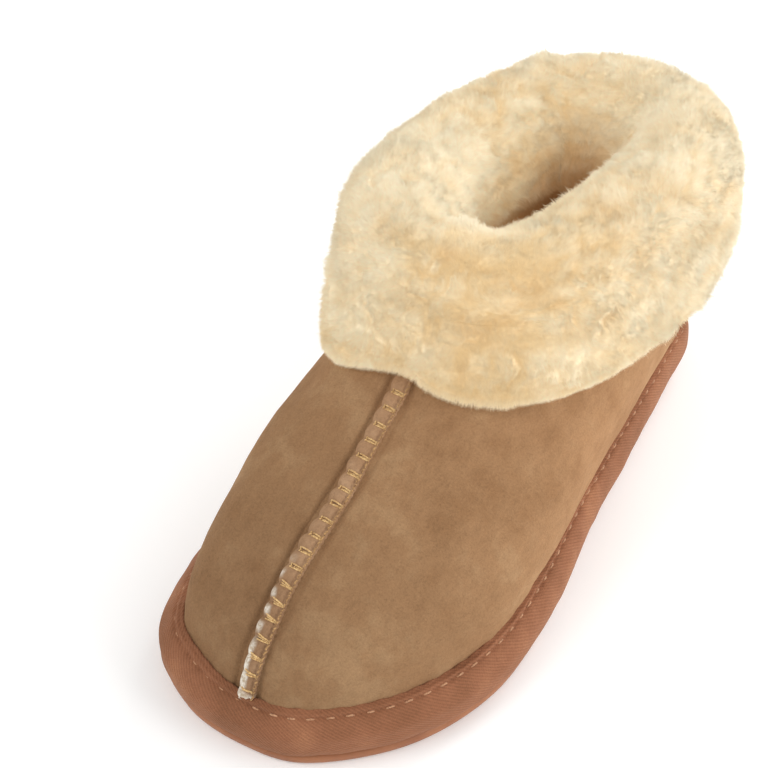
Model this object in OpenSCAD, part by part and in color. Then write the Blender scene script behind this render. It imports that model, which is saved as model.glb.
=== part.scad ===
// Sheepskin moccasin slipper, right foot, with a turned-down fleece cuff.
// Platform (California) construction: two pelt halves are butt-sewn at the toe and heel,
// sewn edge to edge to a soft insole and to a twill wrap, the wrap is pulled down
// round a foam platform, and a moulded outsole is bonded underneath.
// X is across the foot with +X medial, -Y is the toe, +Y the heel, +Z up. Millimetres.

/* [Size] */
// Length of the slipper over the wrap, toe to heel, mm
slipper_length = 252; // [232:2:272]
// Width of the slipper over the wrap at the ball of the foot, mm
slipper_width = 106; // [98:1:116]
// Height of the turned top edge of the upper above the floor, mm
fold_height = 97; // [90:1:106]

/* [Sole] */
// Thickness of the moulded outsole, mm
outsole_thickness = 4; // [3:0.5:5]
// Thickness of the foam platform, mm
platform_thickness = 10; // [8:0.5:12]
// Height of the feather seam above the top of the platform, mm
feather_rise = 5; // [4.5:0.5:7]

/* [Insole] */
// Thickness of the insole board, mm
board_thickness = 1.5; // [1:0.1:2]
// Thickness of the skin of the sheepskin sock, mm
sock_thickness = 1; // [0.8:0.1:1.4]
// Height of the insole pile above the feather seam, mm
insole_pile_height = 5; // [3:0.5:7]

/* [Upper] */
// Thickness of the suede skin, mm
skin = 1.4; // [1:0.1:1.8]
// Height of the lining pile in the forefoot, mm
lining_pile = 10; // [7:0.5:11]

/* [Cuff] */
// Height of the pile on the outside of the cuff, mm
cuff_pile = 18; // [14:0.5:21]
// Height of the pile at the throat of the opening, mm
throat_pile = 19; // [15:0.5:20]
// Rise of the cuff hem above its usual line, mm
hem_rise = 0; // [-4:1:6]

/* [Seams] */
// Width of the raised seam strip, mm
strip_width = 6.6; // [5:0.2:8]
// Thickness of the seam strip, mm
strip_thickness = 1.2; // [0.8:0.1:1.6]
// Pitch of the zigzag stitching along the strip, mm
zigzag_pitch = 4.6; // [3.6:0.2:6]
// Number of stitches round the feather seam
feather_stitches = 98; // [80:1:110]

/* [Hidden] */

ns = 18;            // stations round the shoe: 0 toe seam, 9 heel seam
nr = 5;             // spans between the rings of the upper
kx = slipper_width / 106;
ky = slipper_length / 252;
z1 = outsole_thickness;
z2 = z1 + platform_thickness;
zf = z2 + feather_rise;
zt = fold_height;
zc = zf + insole_pile_height;

// outline over the wrap, one point a station
outline = [[0, -125.5], [21, -119.5], [43.5, -96.5], [55, -66], [54.5, -33], [48, 2], [43, 40],
           [38.5, 78], [32, 107], [5, 125], [-21, 112], [-33, 80], [-39, 40], [-46.5, 2],
           [-52.5, -36], [-53.5, -72], [-45, -107.5], [-24, -123]];
// how far the feather seam lies inside the outline
feather_in = [7, 7.5, 7.5, 7.5, 6.5, 5, 4, 3.3, 2.5, 2, 2.5, 3.5, 4, 5, 6.5, 8, 9, 9];
// top edge of the upper, where the pelt turns over
fold = [[-3, -10], [4, -9.5], [14, -5], [23, 5], [30, 19], [34.5, 38], [36, 58],
        [34, 78], [24, 95], [-2, 102], [-24, 93], [-34, 77], [-39, 56], [-39.5, 36],
        [-36, 19], [-29, 5], [-20, -5], [-10, -9.5]];
// share of the way in and of the way up at each ring, and of the side bulge
ring_in = [0, 0.07, 0.28, 0.585, 0.835, 1];
ring_up = [0, 0.18, 0.39, 0.56, 0.775, 1];
ring_bulge = [0, 0.7, 1, 0.8, 0.3, 0];
bulge = [0, 1, 3, 4, 5, 6, 6, 5, 3, 1.5, 3, 4, 4, 3, 2, 1.5, 1, 0];
// hem height of the cuff above the floor
hem = [80, 78, 76, 74, 71, 68, 66, 66, 66, 66, 66, 67, 67, 67, 68, 69, 73, 78];
// reach and crown of the cuff pile as a share of cuff_pile, and its depth at the throat
reach = [0.95, 0.95, 1, 1, 1, 1, 1, 1.05, 1.1, 1, 0.85, 0.75, 0.75, 0.85, 1, 1.05, 1.05, 1];
crown = [1, 1, 1, 1.05, 1.1, 1.15, 1.2, 1.25, 1.25, 1.1, 0.95, 0.85, 0.85, 0.85, 0.9, 0.95, 1, 1];
throat = [0.95, 1, 1.1, 1.2, 1.25, 1.25, 1.2, 1.1, 1, 0.9, 0.95, 1, 1, 1, 1, 0.95, 0.9, 0.9];
// pile thickness inside the upper at each ring
pile_in = [0.7, 0.8, 0.9, 1.1, 1.3];

function wr(i) = (i + 4 * ns) % ns;
function cr(a, b, c, d, t) = 0.5 * (2 * b + (c - a) * t + (2 * a - 5 * b + 4 * c - d) * t * t
                                    + (3 * b - a - 3 * c + d) * t * t * t);
function ev(T, u) = let (i = floor(u), t = u - i)
    t == 0 ? T[wr(i)] : cr(T[wr(i - 1)], T[wr(i)], T[wr(i + 1)], T[wr(i + 2)], t);
function unit(a) = a / norm(a);
function mix(a, b, t) = a + (b - a) * t;
function outward(T) = [for (i = [0:ns - 1]) let (d = T[wr(i + 1)] - T[wr(i - 1)]) unit([d[1], -d[0]])];
function scaled(T) = [for (p = T) [p[0] * kx, p[1] * ky]];
function up(T, z) = [for (p = T) [p[0], p[1], z]];

S = scaled(outline);
SN = outward(S);
D = scaled(fold);
function inset(k) = [for (i = [0:ns - 1]) S[i] - SN[i] * k];
F0 = [for (i = [0:ns - 1]) S[i] - SN[i] * feather_in[i]];
F = [for (i = [0:ns - 1]) i == 0 ? [-2 * kx, F0[0][1]] : F0[i]];
R = [for (k = [0:nr]) [for (i = [0:ns - 1])
        let (q = F[i] + (D[i] - F[i]) * ring_in[k] + SN[i] * bulge[i] * ring_bulge[k])
        [q[0], q[1], zf + (zt - zf) * ring_up[k]]]];

// the outer surface of the upper: u runs round the shoe, v from the feather seam to the fold
function row(k, u) = k < 0 ? 2 * ev(R[0], u) - ev(R[1], u)
    : k > nr ? 2 * ev(R[nr], u) - ev(R[nr - 1], u) : ev(R[k], u);
function P(u, v) = let (k = min(floor(v), nr - 1), t = v - k)
    t == 0 ? row(k, u) : t == 1 ? row(k + 1, u)
    : cr(row(k - 1, u), row(k, u), row(k + 1, u), row(k + 2, u), t);
function flat(v) = v < 0.6 ? 1 - v / 0.6 : v > 4.4 ? (v - 4.4) / 0.6 : 0;
function N(u, v) = let (e = 0.04,
    a = P(u + e, v) - P(u - e, v),
    b = P(u, min(v + e, nr)) - P(u, max(v - e, 0)),
    c = unit(cross(a, b)))
    unit([c[0], c[1], c[2] * (1 - flat(v))]);

// columns: one strip half-width from each seam, the rest evenly between
nc = 24;
function near(u, v) = strip_width / 2 / (norm(P(u + 0.05, v) - P(u - 0.05, v)) / 0.1);
function col(j, v, half) = let (a = near(half == 0 ? 0 : 9, v), b = near(half == 0 ? 9 : 18, v))
    half * 9 + (j == 0 ? 0 : j == nc ? 9 : a + (9 - a - b) * (j - 1) / (nc - 2));
nv = 14;
V = [for (k = [0:nv]) nr * k / nv];
function pile(u, v) = let (k = min(floor(v), 4)) v >= 4
    ? mix(lining_pile * pile_in[4], throat_t(u), v - 4)
    : lining_pile * mix(pile_in[k], pile_in[k + 1], v - k);
function throat_t(u) = throat_pile * ev(throat, u);
function grid(half, d) = [for (v = V) [for (j = [0:nc]) let (u = col(j, v, half)) P(u, v) - N(u, v) * d]];
function pile_grid(half) = [for (v = V) [for (j = [0:nc])
        let (u = col(j, v, half)) P(u, v) - N(u, v) * (skin + pile(u, v))]];

// a thick sheet between an outer and an inner grid of points
module sheet(O, I) {
    a = len(O); b = len(O[0]); m = a * b;
    pts = concat([for (r = O) for (p = r) p], [for (r = I) for (p = r) p]);
    function q(i, j) = i * b + j;
    polyhedron(pts, concat(
        [for (i = [0:a - 2]) for (j = [0:b - 2]) [q(i, j), q(i + 1, j), q(i + 1, j + 1)]],
        [for (i = [0:a - 2]) for (j = [0:b - 2]) [q(i, j), q(i + 1, j + 1), q(i, j + 1)]],
        [for (i = [0:a - 2]) for (j = [0:b - 2]) [m + q(i, j), m + q(i + 1, j + 1), m + q(i + 1, j)]],
        [for (i = [0:a - 2]) for (j = [0:b - 2]) [m + q(i, j), m + q(i, j + 1), m + q(i + 1, j + 1)]],
        [for (j = [0:b - 2]) each [[q(0, j), q(0, j + 1), m + q(0, j + 1)], [q(0, j), m + q(0, j + 1), m + q(0, j)]]],
        [for (j = [0:b - 2]) each [[q(a - 1, j), m + q(a - 1, j + 1), q(a - 1, j + 1)],
                                   [q(a - 1, j), m + q(a - 1, j), m + q(a - 1, j + 1)]]],
        [for (i = [0:a - 2]) each [[q(i, 0), m + q(i, 0), q(i + 1, 0)], [m + q(i, 0), m + q(i + 1, 0), q(i + 1, 0)]]],
        [for (i = [0:a - 2]) each [[q(i, b - 1), q(i + 1, b - 1), m + q(i, b - 1)],
                                   [q(i + 1, b - 1), m + q(i + 1, b - 1), m + q(i, b - 1)]]]
    ), convexity = 10);
}

// a stack of closed level rings, capped at both ends
module stack(L) {
    a = len(L); b = len(L[0]);
    function q(i, j) = i * b + j % b;
    polyhedron([for (r = L) for (p = r) p], concat(
        [[for (j = [0:b - 1]) j]],
        [[for (j = [b - 1:-1:0]) q(a - 1, j)]],
        [for (i = [0:a - 2]) for (j = [0:b - 1]) each [[q(i, j), q(i + 1, j), q(i + 1, j + 1)],
                                                       [q(i, j), q(i + 1, j + 1), q(i, j + 1)]]]
    ), convexity = 6);
}

// a closed band: rings joined to each other and the last back to the first
module band(L) {
    a = len(L); b = len(L[0]);
    function q(i, j) = (i % a) * b + j % b;
    polyhedron([for (r = L) for (p = r) p],
        [for (i = [0:a - 1]) for (j = [0:b - 1]) each [[q(i, j), q(i + 1, j), q(i + 1, j + 1)],
                                                       [q(i, j), q(i + 1, j + 1), q(i, j + 1)]]],
        convexity = 8);
}

// a rod with four corners swept through frames of four points
module rod(Q) {
    n = len(Q);
    polyhedron([for (f = Q) for (p = f) p], concat(
        [[0, 1, 2, 3]], [[for (k = [3:-1:0]) (n - 1) * 4 + k]],
        [for (i = [0:n - 2]) for (k = [0:3]) let (a = i * 4 + k, b = i * 4 + (k + 1) % 4)
            each [[a, a + 4, b + 4], [a, b + 4, b]]]
    ), convexity = 10);
}

// columns of the feather seam all the way round
UF = concat([for (j = [0:nc - 1]) col(j, 0, 0)], [for (j = [0:nc - 1]) col(j, 0, 1)]);
PF = [for (u = UF) P(u, 0)];
NF = [for (u = UF) N(u, 0)];
function inner(d, z) = [for (i = [0:len(UF) - 1]) let (p = PF[i] - NF[i] * d) [p[0], p[1], z]];

// section of the wrap: station tables of inset and height, outer line then inner line
function station(k, f) = [for (i = [0:ns - 1]) S[i] - SN[i] * (k + f * feather_in[i])];
function ring(k, f, z) = let (T = station(k, f)) [for (u = UF) let (p = ev(T, u)) [p[0], p[1], z]];
seam_out = [for (p = PF) [p[0], p[1], zf]];
seam_in = [for (p = PF) [p[0], p[1], zf - 1.8]];
wrap_out = [ring(3.6, 0, z1), ring(1.2, 0, z1 + 1), ring(0, 0, z1 + 4.5), ring(0.3, 0, mix(z1, zf, 0.6)),
            ring(0, 0.38, zf - 2.3), ring(0, 0.72, zf - 0.6), seam_out];
wrap_in = [ring(5.4, 0, z1), ring(2.9, 0, z1 + 1.9), ring(1.8, 0, z1 + 4.7), ring(2.1, 0, mix(z1, zf, 0.58)),
           ring(1.5, 0.42, zf - 3.6), ring(0.6, 0.78, zf - 2.3), seam_in];

module outsole() color([0.60, 0.37, 0.24])
    stack([ring(3.4, 0, 0), ring(2.4, 0, 0.8), ring(2.1, 0, 2), ring(2.2, 0, z1 - 0.5), ring(2.8, 0, z1)]);

module platform() color([0.85, 0.80, 0.72])
    stack(concat(wrap_in, [inner(0, z2)]));

module platform_wrap() color([0.70, 0.49, 0.38])
    band(concat([for (r = wrap_out) r], [for (i = [len(wrap_in) - 1:-1:0]) wrap_in[i]]));

// one stitch of the feather seam lies on the wrap between its two top rings
function on_wrap(y, t) = let (b = len(UF), j = floor(y), f = y - j)
    mix(mix(wrap_out[5][j % b], wrap_out[5][(j + 1) % b], f),
        mix(wrap_out[6][j % b], wrap_out[6][(j + 1) % b], f), t);
module feather_stitching() color([0.80, 0.66, 0.48])
    for (s = [0:feather_stitches - 1]) let (
        b = len(UF) / feather_stitches, x = (s + 0.5) * b, h = 0.28 * b,
        a = on_wrap(x - h, 0.3), c = on_wrap(x + h, 0.3), d = on_wrap(x + h, 0.75), e = on_wrap(x - h, 0.75),
        n = unit(cross(c - a, e - a)) * 0.7)
        rod([[a, e, e + n, a + n], [c, d, d + n, c + n]]);

module insole_board() color([0.72, 0.66, 0.55])
    stack([inner(skin, z2), inner(skin, z2 + board_thickness)]);

module insole_sock_skin() color([0.86, 0.78, 0.66])
    stack([inner(skin, z2 + board_thickness), inner(skin, z2 + board_thickness + sock_thickness)]);

pile0 = lining_pile * pile_in[0];
module insole_pile() color([0.93, 0.86, 0.73])
    stack([inner(skin, z2 + board_thickness + sock_thickness), inner(skin, zf), inner(skin + pile0, zf),
           inner(skin + pile0 + 0.6, mix(zf, zc, 0.6)), inner(skin + pile0 + 4, zc)]);

// each skin runs down behind the wrap to the top of the platform
function skin_outer(half) = concat([[for (j = [0:nc]) let (p = P(col(j, 0, half), 0)) [p[0], p[1], z2]]], grid(half, 0));
function skin_inner(half) = let (G = grid(half, skin)) concat([[for (p = G[0]) [p[0], p[1], z2]]], G);

module quarter_medial() color([0.68, 0.53, 0.37]) sheet(skin_outer(0), skin_inner(0));
module quarter_lateral() color([0.66, 0.51, 0.35]) sheet(skin_outer(1), skin_inner(1));
module lining_medial() color([0.94, 0.87, 0.74]) sheet(grid(0, skin), pile_grid(0));
module lining_lateral() color([0.94, 0.87, 0.74]) sheet(grid(1, skin), pile_grid(1));

// ring parameter of the height z
function v_at(z, lo = 0, hi = 5, n = 16) = let (m = (lo + hi) / 2)
    n == 0 ? m : P(0, m)[2] < z ? v_at(z, m, hi, n - 1) : v_at(z, lo, m, n - 1);
vh_t = [for (i = [0:ns - 1]) v_at(min(hem[i] + hem_rise, zt - 12))];
function vh(u) = ev(vh_t, u);

// seam strip on the skins' facets, from the feather seam to the hem
function strip_rows(c) = let (top = vh(c), kt = floor(top * nv / nr), f = top * nv / nr - kt,
        rows = [for (k = [0:kt + 1]) let (v = V[k], d = near(c, v)) [P(c - d, v), P(c, v), P(c + d, v), N(c, v)]])
    concat([for (k = [0:kt]) rows[k]], [[for (m = [0:3]) mix(rows[kt][m], rows[kt + 1][m], max(f, 0.1))]]);
function lift(r) = [for (m = [0:2]) r[m] + r[3] * strip_thickness];
vamp_rows = strip_rows(0);
heel_rows = strip_rows(9);
module strip(rows) sheet([for (r = rows) lift(r)], [for (r = rows) [r[0], r[1], r[2]]]);
module vamp_seam_strip() color([0.62, 0.47, 0.32]) strip(vamp_rows);
module heel_seam_strip() color([0.62, 0.47, 0.32]) strip(heel_rows);

// a point on top of a strip: a across from -1 to 1, s along in rows
function on_strip(rows, a, s) = let (k = min(floor(s), len(rows) - 2), f = s - k,
        A = lift(rows[k]), B = lift(rows[k + 1]), m = a < 0 ? 0 : 2)
    mix(mix(A[1], A[m], abs(a)), mix(B[1], B[m], abs(a)), f);
function seam_length(rows, k = 0) = k >= len(rows) - 1 ? 0 : norm(rows[k + 1][1] - rows[k][1]) + seam_length(rows, k + 1);
// rows coordinate at the arc length l from the feather seam
function along(rows, l, k = 0) = let (d = norm(rows[k + 1][1] - rows[k][1]))
    l <= d || k >= len(rows) - 2 ? k + min(l / d, 0.999) : along(rows, l - d, k + 1);
function frame(rows, a, l, w, h) = let (s = along(rows, l), k = min(floor(s), len(rows) - 2),
        p = on_strip(rows, a, s), t = unit(rows[k][2] - rows[k][0]) * w, n = rows[k][3] * h)
    [p - t, p - t + n, p + t + n, p + t];

module zigzag(rows) {
    n = floor((seam_length(rows) - 4) / (zigzag_pitch / 2));
    rod([for (i = [0:n]) frame(rows, i % 2 == 0 ? 0.6 : -0.6, 2 + i * zigzag_pitch / 2, 0.8, 0.7)]);
}
module vamp_zigzag_thread() color([0.78, 0.60, 0.34]) zigzag(vamp_rows);
module heel_zigzag_thread() color([0.78, 0.60, 0.34]) zigzag(heel_rows);

module vamp_row_stitching() color([0.55, 0.40, 0.26]) {
    n = floor((seam_length(vamp_rows) - 6) / 4);
    for (i = [0:n - 1]) let (l = 3 + i * 4,
        A = on_strip(vamp_rows, 0.8, along(vamp_rows, l)), B = on_strip(vamp_rows, 0.8, along(vamp_rows, l + 2.4)),
        k = min(floor(along(vamp_rows, l)), len(vamp_rows) - 2),
        w = unit(vamp_rows[k][2] - vamp_rows[k][1]) * 0.4, h = vamp_rows[k][3] * 0.6)
        rod([[A - w, A + w, A + w + h, A - w + h], [B - w, B + w, B + w + h, B - w + h]]);
}

// turned-down cuff: rows run from the hem up to the fold and over its edge
cw = [0, 0.14, 0.34, 0.56, 0.8, 1];
function cuff_v(u, w) = mix(vh(u), nr, w);
function on_cuff(u, w, d) = let (v = cuff_v(u, w)) P(u, v) + N(u, v) * d;
function fold_pt(u, r, z) = let (p = P(u, nr), n = N(u, nr)) [p[0] + n[0] * r, p[1] + n[1] * r, z];
function cuff_cols(half) = [for (j = [0:nc]) col(j, 4.5, half)];
function cuff_skin_out(half) = let (U = cuff_cols(half)) concat(
    [for (w = cw) [for (u = U) on_cuff(u, w, skin)]],
    [[for (u = U) fold_pt(u, skin, zt + skin)], [for (u = U) fold_pt(u, -skin, zt + skin)]]);
function cuff_skin_in(half) = let (U = cuff_cols(half)) concat(
    [for (w = cw) [for (u = U) on_cuff(u, w, 0)]],
    [[for (u = U) fold_pt(u, -skin * 0.4, zt)], [for (u = U) fold_pt(u, -skin, zt)]]);
module cuff_skin_medial() color([0.90, 0.86, 0.80]) sheet(cuff_skin_out(0), cuff_skin_in(0));
module cuff_skin_lateral() color([0.90, 0.86, 0.80]) sheet(cuff_skin_out(1), cuff_skin_in(1));

// the pile swells from its short edge at the hem to its full reach level with the fold
function cuff_t(u) = cuff_pile * ev(reach, u);
function crown_t(u) = cuff_pile * ev(crown, u);
function roll(u, a) = let (x = cos(a), t = x >= 0 ? skin + cuff_t(u) : skin + throat_t(u))
    fold_pt(u, t * x, zt + (crown_t(u) + skin) * sin(a));
function bez(a, b, c, d, t) = let (s = 1 - t) a * s * s * s + b * 3 * s * s * t + c * 3 * s * t * t + d * t * t * t;
cb = [0, 0.2, 0.4, 0.6, 0.8, 1];
function swell(u, t) = let (
    A = on_cuff(u, 0, skin + 0.2 * cuff_t(u)) - [0, 0, 2.4],
    E = fold_pt(u, skin + cuff_t(u), zt), n = N(u, nr),
    over = (E - A) * n, push = max(4, over + 4))
    bez(A, A + n * push - [0, 0, 3], E - [0, 0, 0.6 * (zt - A[2])] + n * max(0, 3 - over) * 0.5, E, t);
function fleece_out(half) = let (U = cuff_cols(half)) concat(
    [for (t = cb) [for (u = U) swell(u, t)]],
    [for (a = [30, 60, 90, 120, 150, 180]) [for (u = U) roll(u, a)]]);
function fleece_in(half) = let (U = cuff_cols(half)) concat(
    [for (w = cw) [for (u = U) on_cuff(u, w, skin)]],
    [for (q = [[1, 1], [0.5, 1], [0, 1], [-0.5, 1], [-1, 1], [-1, 0]])
        [for (u = U) fold_pt(u, skin * q[0], zt + skin * q[1])]]);
module cuff_fleece_medial() color([0.95, 0.88, 0.74]) sheet(fleece_out(0), fleece_in(0));
module cuff_fleece_lateral() color([0.95, 0.88, 0.74]) sheet(fleece_out(1), fleece_in(1));

outsole();
platform();
platform_wrap();
feather_stitching();
insole_board();
insole_sock_skin();
insole_pile();
quarter_medial();
quarter_lateral();
lining_medial();
lining_lateral();
vamp_seam_strip();
vamp_zigzag_thread();
vamp_row_stitching();
heel_seam_strip();
heel_zigzag_thread();
cuff_skin_medial();
cuff_skin_lateral();
cuff_fleece_medial();
cuff_fleece_lateral();
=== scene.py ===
import math
import bpy
import numpy as np
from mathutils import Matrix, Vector


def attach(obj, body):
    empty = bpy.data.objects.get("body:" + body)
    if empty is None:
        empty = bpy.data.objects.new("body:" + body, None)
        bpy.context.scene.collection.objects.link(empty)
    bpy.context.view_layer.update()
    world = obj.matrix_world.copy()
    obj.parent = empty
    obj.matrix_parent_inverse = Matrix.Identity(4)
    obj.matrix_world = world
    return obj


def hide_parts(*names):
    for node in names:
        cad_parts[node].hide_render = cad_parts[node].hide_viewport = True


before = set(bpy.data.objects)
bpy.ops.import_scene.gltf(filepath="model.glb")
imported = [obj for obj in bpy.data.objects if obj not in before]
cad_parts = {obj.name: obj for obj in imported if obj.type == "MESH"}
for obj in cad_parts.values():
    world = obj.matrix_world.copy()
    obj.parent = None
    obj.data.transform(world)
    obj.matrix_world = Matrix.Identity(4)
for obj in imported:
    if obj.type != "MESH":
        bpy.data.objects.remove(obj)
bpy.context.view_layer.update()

RNG = np.random.default_rng(471)

# ------------------------------------------------------------------ the slipper's surface, as in the CAD, in mm
OUTLINE = np.array([[0, -125.5], [21, -119.5], [43.5, -96.5], [55, -66], [54.5, -33], [48, 2], [43, 40],
                    [38.5, 78], [32, 107], [5, 125], [-21, 112], [-33, 80], [-39, 40], [-46.5, 2],
                    [-52.5, -36], [-53.5, -72], [-45, -107.5], [-24, -123]], float)
FEATHER = np.array([7, 7.5, 7.5, 7.5, 6.5, 5, 4, 3.3, 2.5, 2, 2.5, 3.5, 4, 5, 6.5, 8, 9, 9], float)
FOLD = np.array([[-3, -10], [4, -9.5], [14, -5], [23, 5], [30, 19], [34.5, 38], [36, 58],
                 [34, 78], [24, 95], [-2, 102], [-24, 93], [-34, 77], [-39, 56], [-39.5, 36],
                 [-36, 19], [-29, 5], [-20, -5], [-10, -9.5]], float)
RING_IN = [0, 0.07, 0.28, 0.585, 0.835, 1]
RING_UP = [0, 0.18, 0.39, 0.56, 0.775, 1]
RING_BULGE = [0, 0.7, 1, 0.8, 0.3, 0]
BULGE = np.array([0, 1, 3, 4, 5, 6, 6, 5, 3, 1.5, 3, 4, 4, 3, 2, 1.5, 1, 0], float)
HEM = np.array([80, 78, 76, 74, 71, 68, 66, 66, 66, 66, 66, 67, 67, 67, 68, 69, 73, 78], float)
REACH = np.array([0.95, 0.95, 1, 1, 1, 1, 1, 1.05, 1.1, 1, 0.85, 0.75, 0.75, 0.85, 1, 1.05, 1.05, 1])
CROWN = np.array([1, 1, 1, 1.05, 1.1, 1.15, 1.2, 1.25, 1.25, 1.1, 0.95, 0.85, 0.85, 0.85, 0.9, 0.95, 1, 1])
THROAT = np.array([0.95, 1, 1.1, 1.2, 1.25, 1.25, 1.2, 1.1, 1, 0.9, 0.95, 1, 1, 1, 1, 0.95, 0.9, 0.9])
PILE_IN = np.array([0.7, 0.8, 0.9, 1.1, 1.3])
Z1, Z2, ZF, ZT = 4.0, 14.0, 19.0, 97.0
SKIN, LINING, CUFF, THROAT_PILE = 1.4, 10.0, 18.0, 19.0
NS = 18


def unit(a):
    return a / np.maximum(np.linalg.norm(a, axis=-1, keepdims=True), 1e-9)


def outward(T):
    d = np.roll(T, -1, 0) - np.roll(T, 1, 0)
    return unit(np.c_[d[:, 1], -d[:, 0]])


def crw(t):
    """Catmull-Rom weights at t."""
    return 0.5 * np.stack([-t + 2 * t * t - t ** 3, 2 - 5 * t * t + 3 * t ** 3,
                           t + 4 * t * t - 3 * t ** 3, -t * t + t ** 3], -1)


def ev(T, u):
    T = np.asarray(T, float)
    u = np.asarray(u, float)
    i = np.floor(u).astype(int)
    w = crw(u - i)
    return sum((w[..., k] if T.ndim == 1 else w[..., k, None]) * T[(i + k - 1) % NS] for k in range(4))


SN = outward(OUTLINE)
F0 = OUTLINE - SN * FEATHER[:, None]
F0[0] = (-2, F0[0][1])
R = np.array([np.c_[F0 + (FOLD - F0) * RING_IN[k] + SN * (BULGE * RING_BULGE[k])[:, None],
                    np.full(NS, ZF + (ZT - ZF) * RING_UP[k])] for k in range(6)])
RX = np.concatenate([[2 * R[0] - R[1]], R, [2 * R[5] - R[4]]])


def P(u, v):
    """The outer face of the upper: u runs round the shoe, 0 at the toe seam and 9 at the heel seam; v from the feather seam, 0, to the fold, 5."""
    u, v = np.broadcast_arrays(np.asarray(u, float), np.asarray(v, float))
    k = np.clip(np.floor(v).astype(int), 0, 4)
    wv, i = crw(v - k), np.floor(u).astype(int)
    wu = crw(u - i)
    out = np.zeros(u.shape + (3,))
    for m in range(4):
        for j in range(4):
            out += (wv[..., m] * wu[..., j])[..., None] * RX[k + m, (i + j - 1) % NS]
    return out


def N(u, v):
    u, v = np.broadcast_arrays(np.asarray(u, float), np.asarray(v, float))
    e = 0.04
    a = P(u + e, v) - P(u - e, v)
    b = P(u, np.minimum(v + e, 5)) - P(u, np.maximum(v - e, 0))
    c = unit(np.cross(a, b))
    flat = np.where(v < 0.6, 1 - v / 0.6, np.where(v > 4.4, (v - 4.4) / 0.6, 0))
    c[..., 2] *= 1 - flat
    return unit(c)


VS = np.linspace(0, 5, 401)


def v_at(u, z):
    """The ring parameter where the upper is z above the floor. Every ring is level, so it is the same at every u."""
    zs = P(np.zeros_like(VS), VS)[:, 2]
    return np.interp(z, zs, VS)


VH = v_at(0, HEM)


def vh(u):
    return ev(VH, u)


# ------------------------------------------------------------------ noise
def _hash(i, j, k, s):
    h = (i * 374761393 + j * 668265263 + k * 2147483647 + s * 144665) & 0xFFFFFFFF
    h = ((h ^ (h >> 13)) * 1274126177) & 0xFFFFFFFF
    h ^= h >> 16
    return (h & 0xFFFFFF) / float(0xFFFFFF) * 2 - 1


def vnoise(p, size, seed=0):
    """Smooth value noise from -1 to 1, with features about size mm across."""
    q = np.asarray(p, float) / size + 1000.37
    i = np.floor(q).astype(np.int64)
    f = q - i
    f = f * f * f * (f * (f * 6 - 15) + 10)
    out = 0
    for a in (0, 1):
        for b in (0, 1):
            for c in (0, 1):
                w = (f[..., 0] if a else 1 - f[..., 0]) * (f[..., 1] if b else 1 - f[..., 1]) * (f[..., 2] if c else 1 - f[..., 2])
                out = out + w * _hash(i[..., 0] + a, i[..., 1] + b, i[..., 2] + c, seed)
    return out


def fbm(p, size, seed=0, octaves=3):
    return sum(vnoise(p, size / 2 ** o, seed + 17 * o) * 0.55 ** o for o in range(octaves)) / 1.6


# ------------------------------------------------------------------ meshes
def mesh(name, V, Q=None, T=None, NG=(), mat=None, uv=None, colour=None, extra=None, normals=None, smooth=True):
    """A mesh object from points in mm and arrays of quads and triangles. uv and colour are per point."""
    V = np.asarray(V, float).reshape(-1, 3)
    loops, sizes = [], []
    if Q is not None and len(Q):
        Q = np.asarray(Q, int).reshape(-1, 4)
        loops.append(Q.ravel()); sizes.append(np.full(len(Q), 4))
    if T is not None and len(T):
        T = np.asarray(T, int).reshape(-1, 3)
        loops.append(T.ravel()); sizes.append(np.full(len(T), 3))
    for g in NG:
        loops.append(np.asarray(g, int)); sizes.append(np.array([len(g)]))
    L, S = np.concatenate(loops), np.concatenate(sizes)
    me = bpy.data.meshes.new(name)
    me.vertices.add(len(V)); me.vertices.foreach_set("co", (V * 0.001).ravel())
    me.loops.add(len(L)); me.loops.foreach_set("vertex_index", L)
    me.polygons.add(len(S)); me.polygons.foreach_set("loop_start", np.concatenate([[0], np.cumsum(S)[:-1]]))
    me.update(calc_edges=True)
    me.validate()
    me.polygons.foreach_set("use_smooth", np.full(len(S), smooth))
    for nm, arr in ((uv or {}).items() if isinstance(uv, dict) else ()):
        lay = me.uv_layers.new(name=nm)
        arr = np.asarray(arr, float)
        lay.data.foreach_set("uv", (arr if len(arr) == len(L) else arr[L]).ravel())
    if colour is not None:
        at = me.color_attributes.new("tint", "FLOAT_COLOR", "POINT")
        c = np.ones((len(V), 4)); c[:, :colour.shape[1]] = colour
        at.data.foreach_set("color", c.ravel())
    for nm, arr in (extra or {}).items():
        at = me.attributes.new(nm, "FLOAT", "POINT")
        at.data.foreach_set("value", np.asarray(arr, float).ravel())
    if normals is not None:
        me.normals_split_custom_set_from_vertices([tuple(n) for n in normals])
    ob = bpy.data.objects.new(name, me)
    bpy.context.scene.collection.objects.link(ob)
    if mat is not None:
        me.materials.append(mat)
    return ob


def grid_quads(a, b, wrap=False, base=0, flip=False):
    i = np.arange(a - 1)[:, None]
    j = np.arange(b if wrap else b - 1)[None, :]
    q = np.stack([i * b + j, i * b + (j + 1) % b, (i + 1) * b + (j + 1) % b, (i + 1) * b + j], -1).reshape(-1, 4) + base
    return q[:, ::-1] if flip else q


def shell(O, I):
    """A closed thick sheet from an outer and an inner grid (rows, columns, 3): points and quads."""
    a, b = O.shape[:2]
    m = a * b
    idx = np.arange(m).reshape(a, b)
    Q = [grid_quads(a, b), grid_quads(a, b, base=m, flip=True)]

    def rim(x, flip):
        q = np.stack([x[:-1], x[1:], x[1:] + m, x[:-1] + m], -1)
        Q.append(q if flip else q[:, ::-1])
    rim(idx[0], False); rim(idx[-1], True)
    rim(idx[:, 0], True); rim(idx[:, -1], False)
    return np.concatenate([O.reshape(-1, 3), I.reshape(-1, 3)]), np.concatenate(Q)


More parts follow.
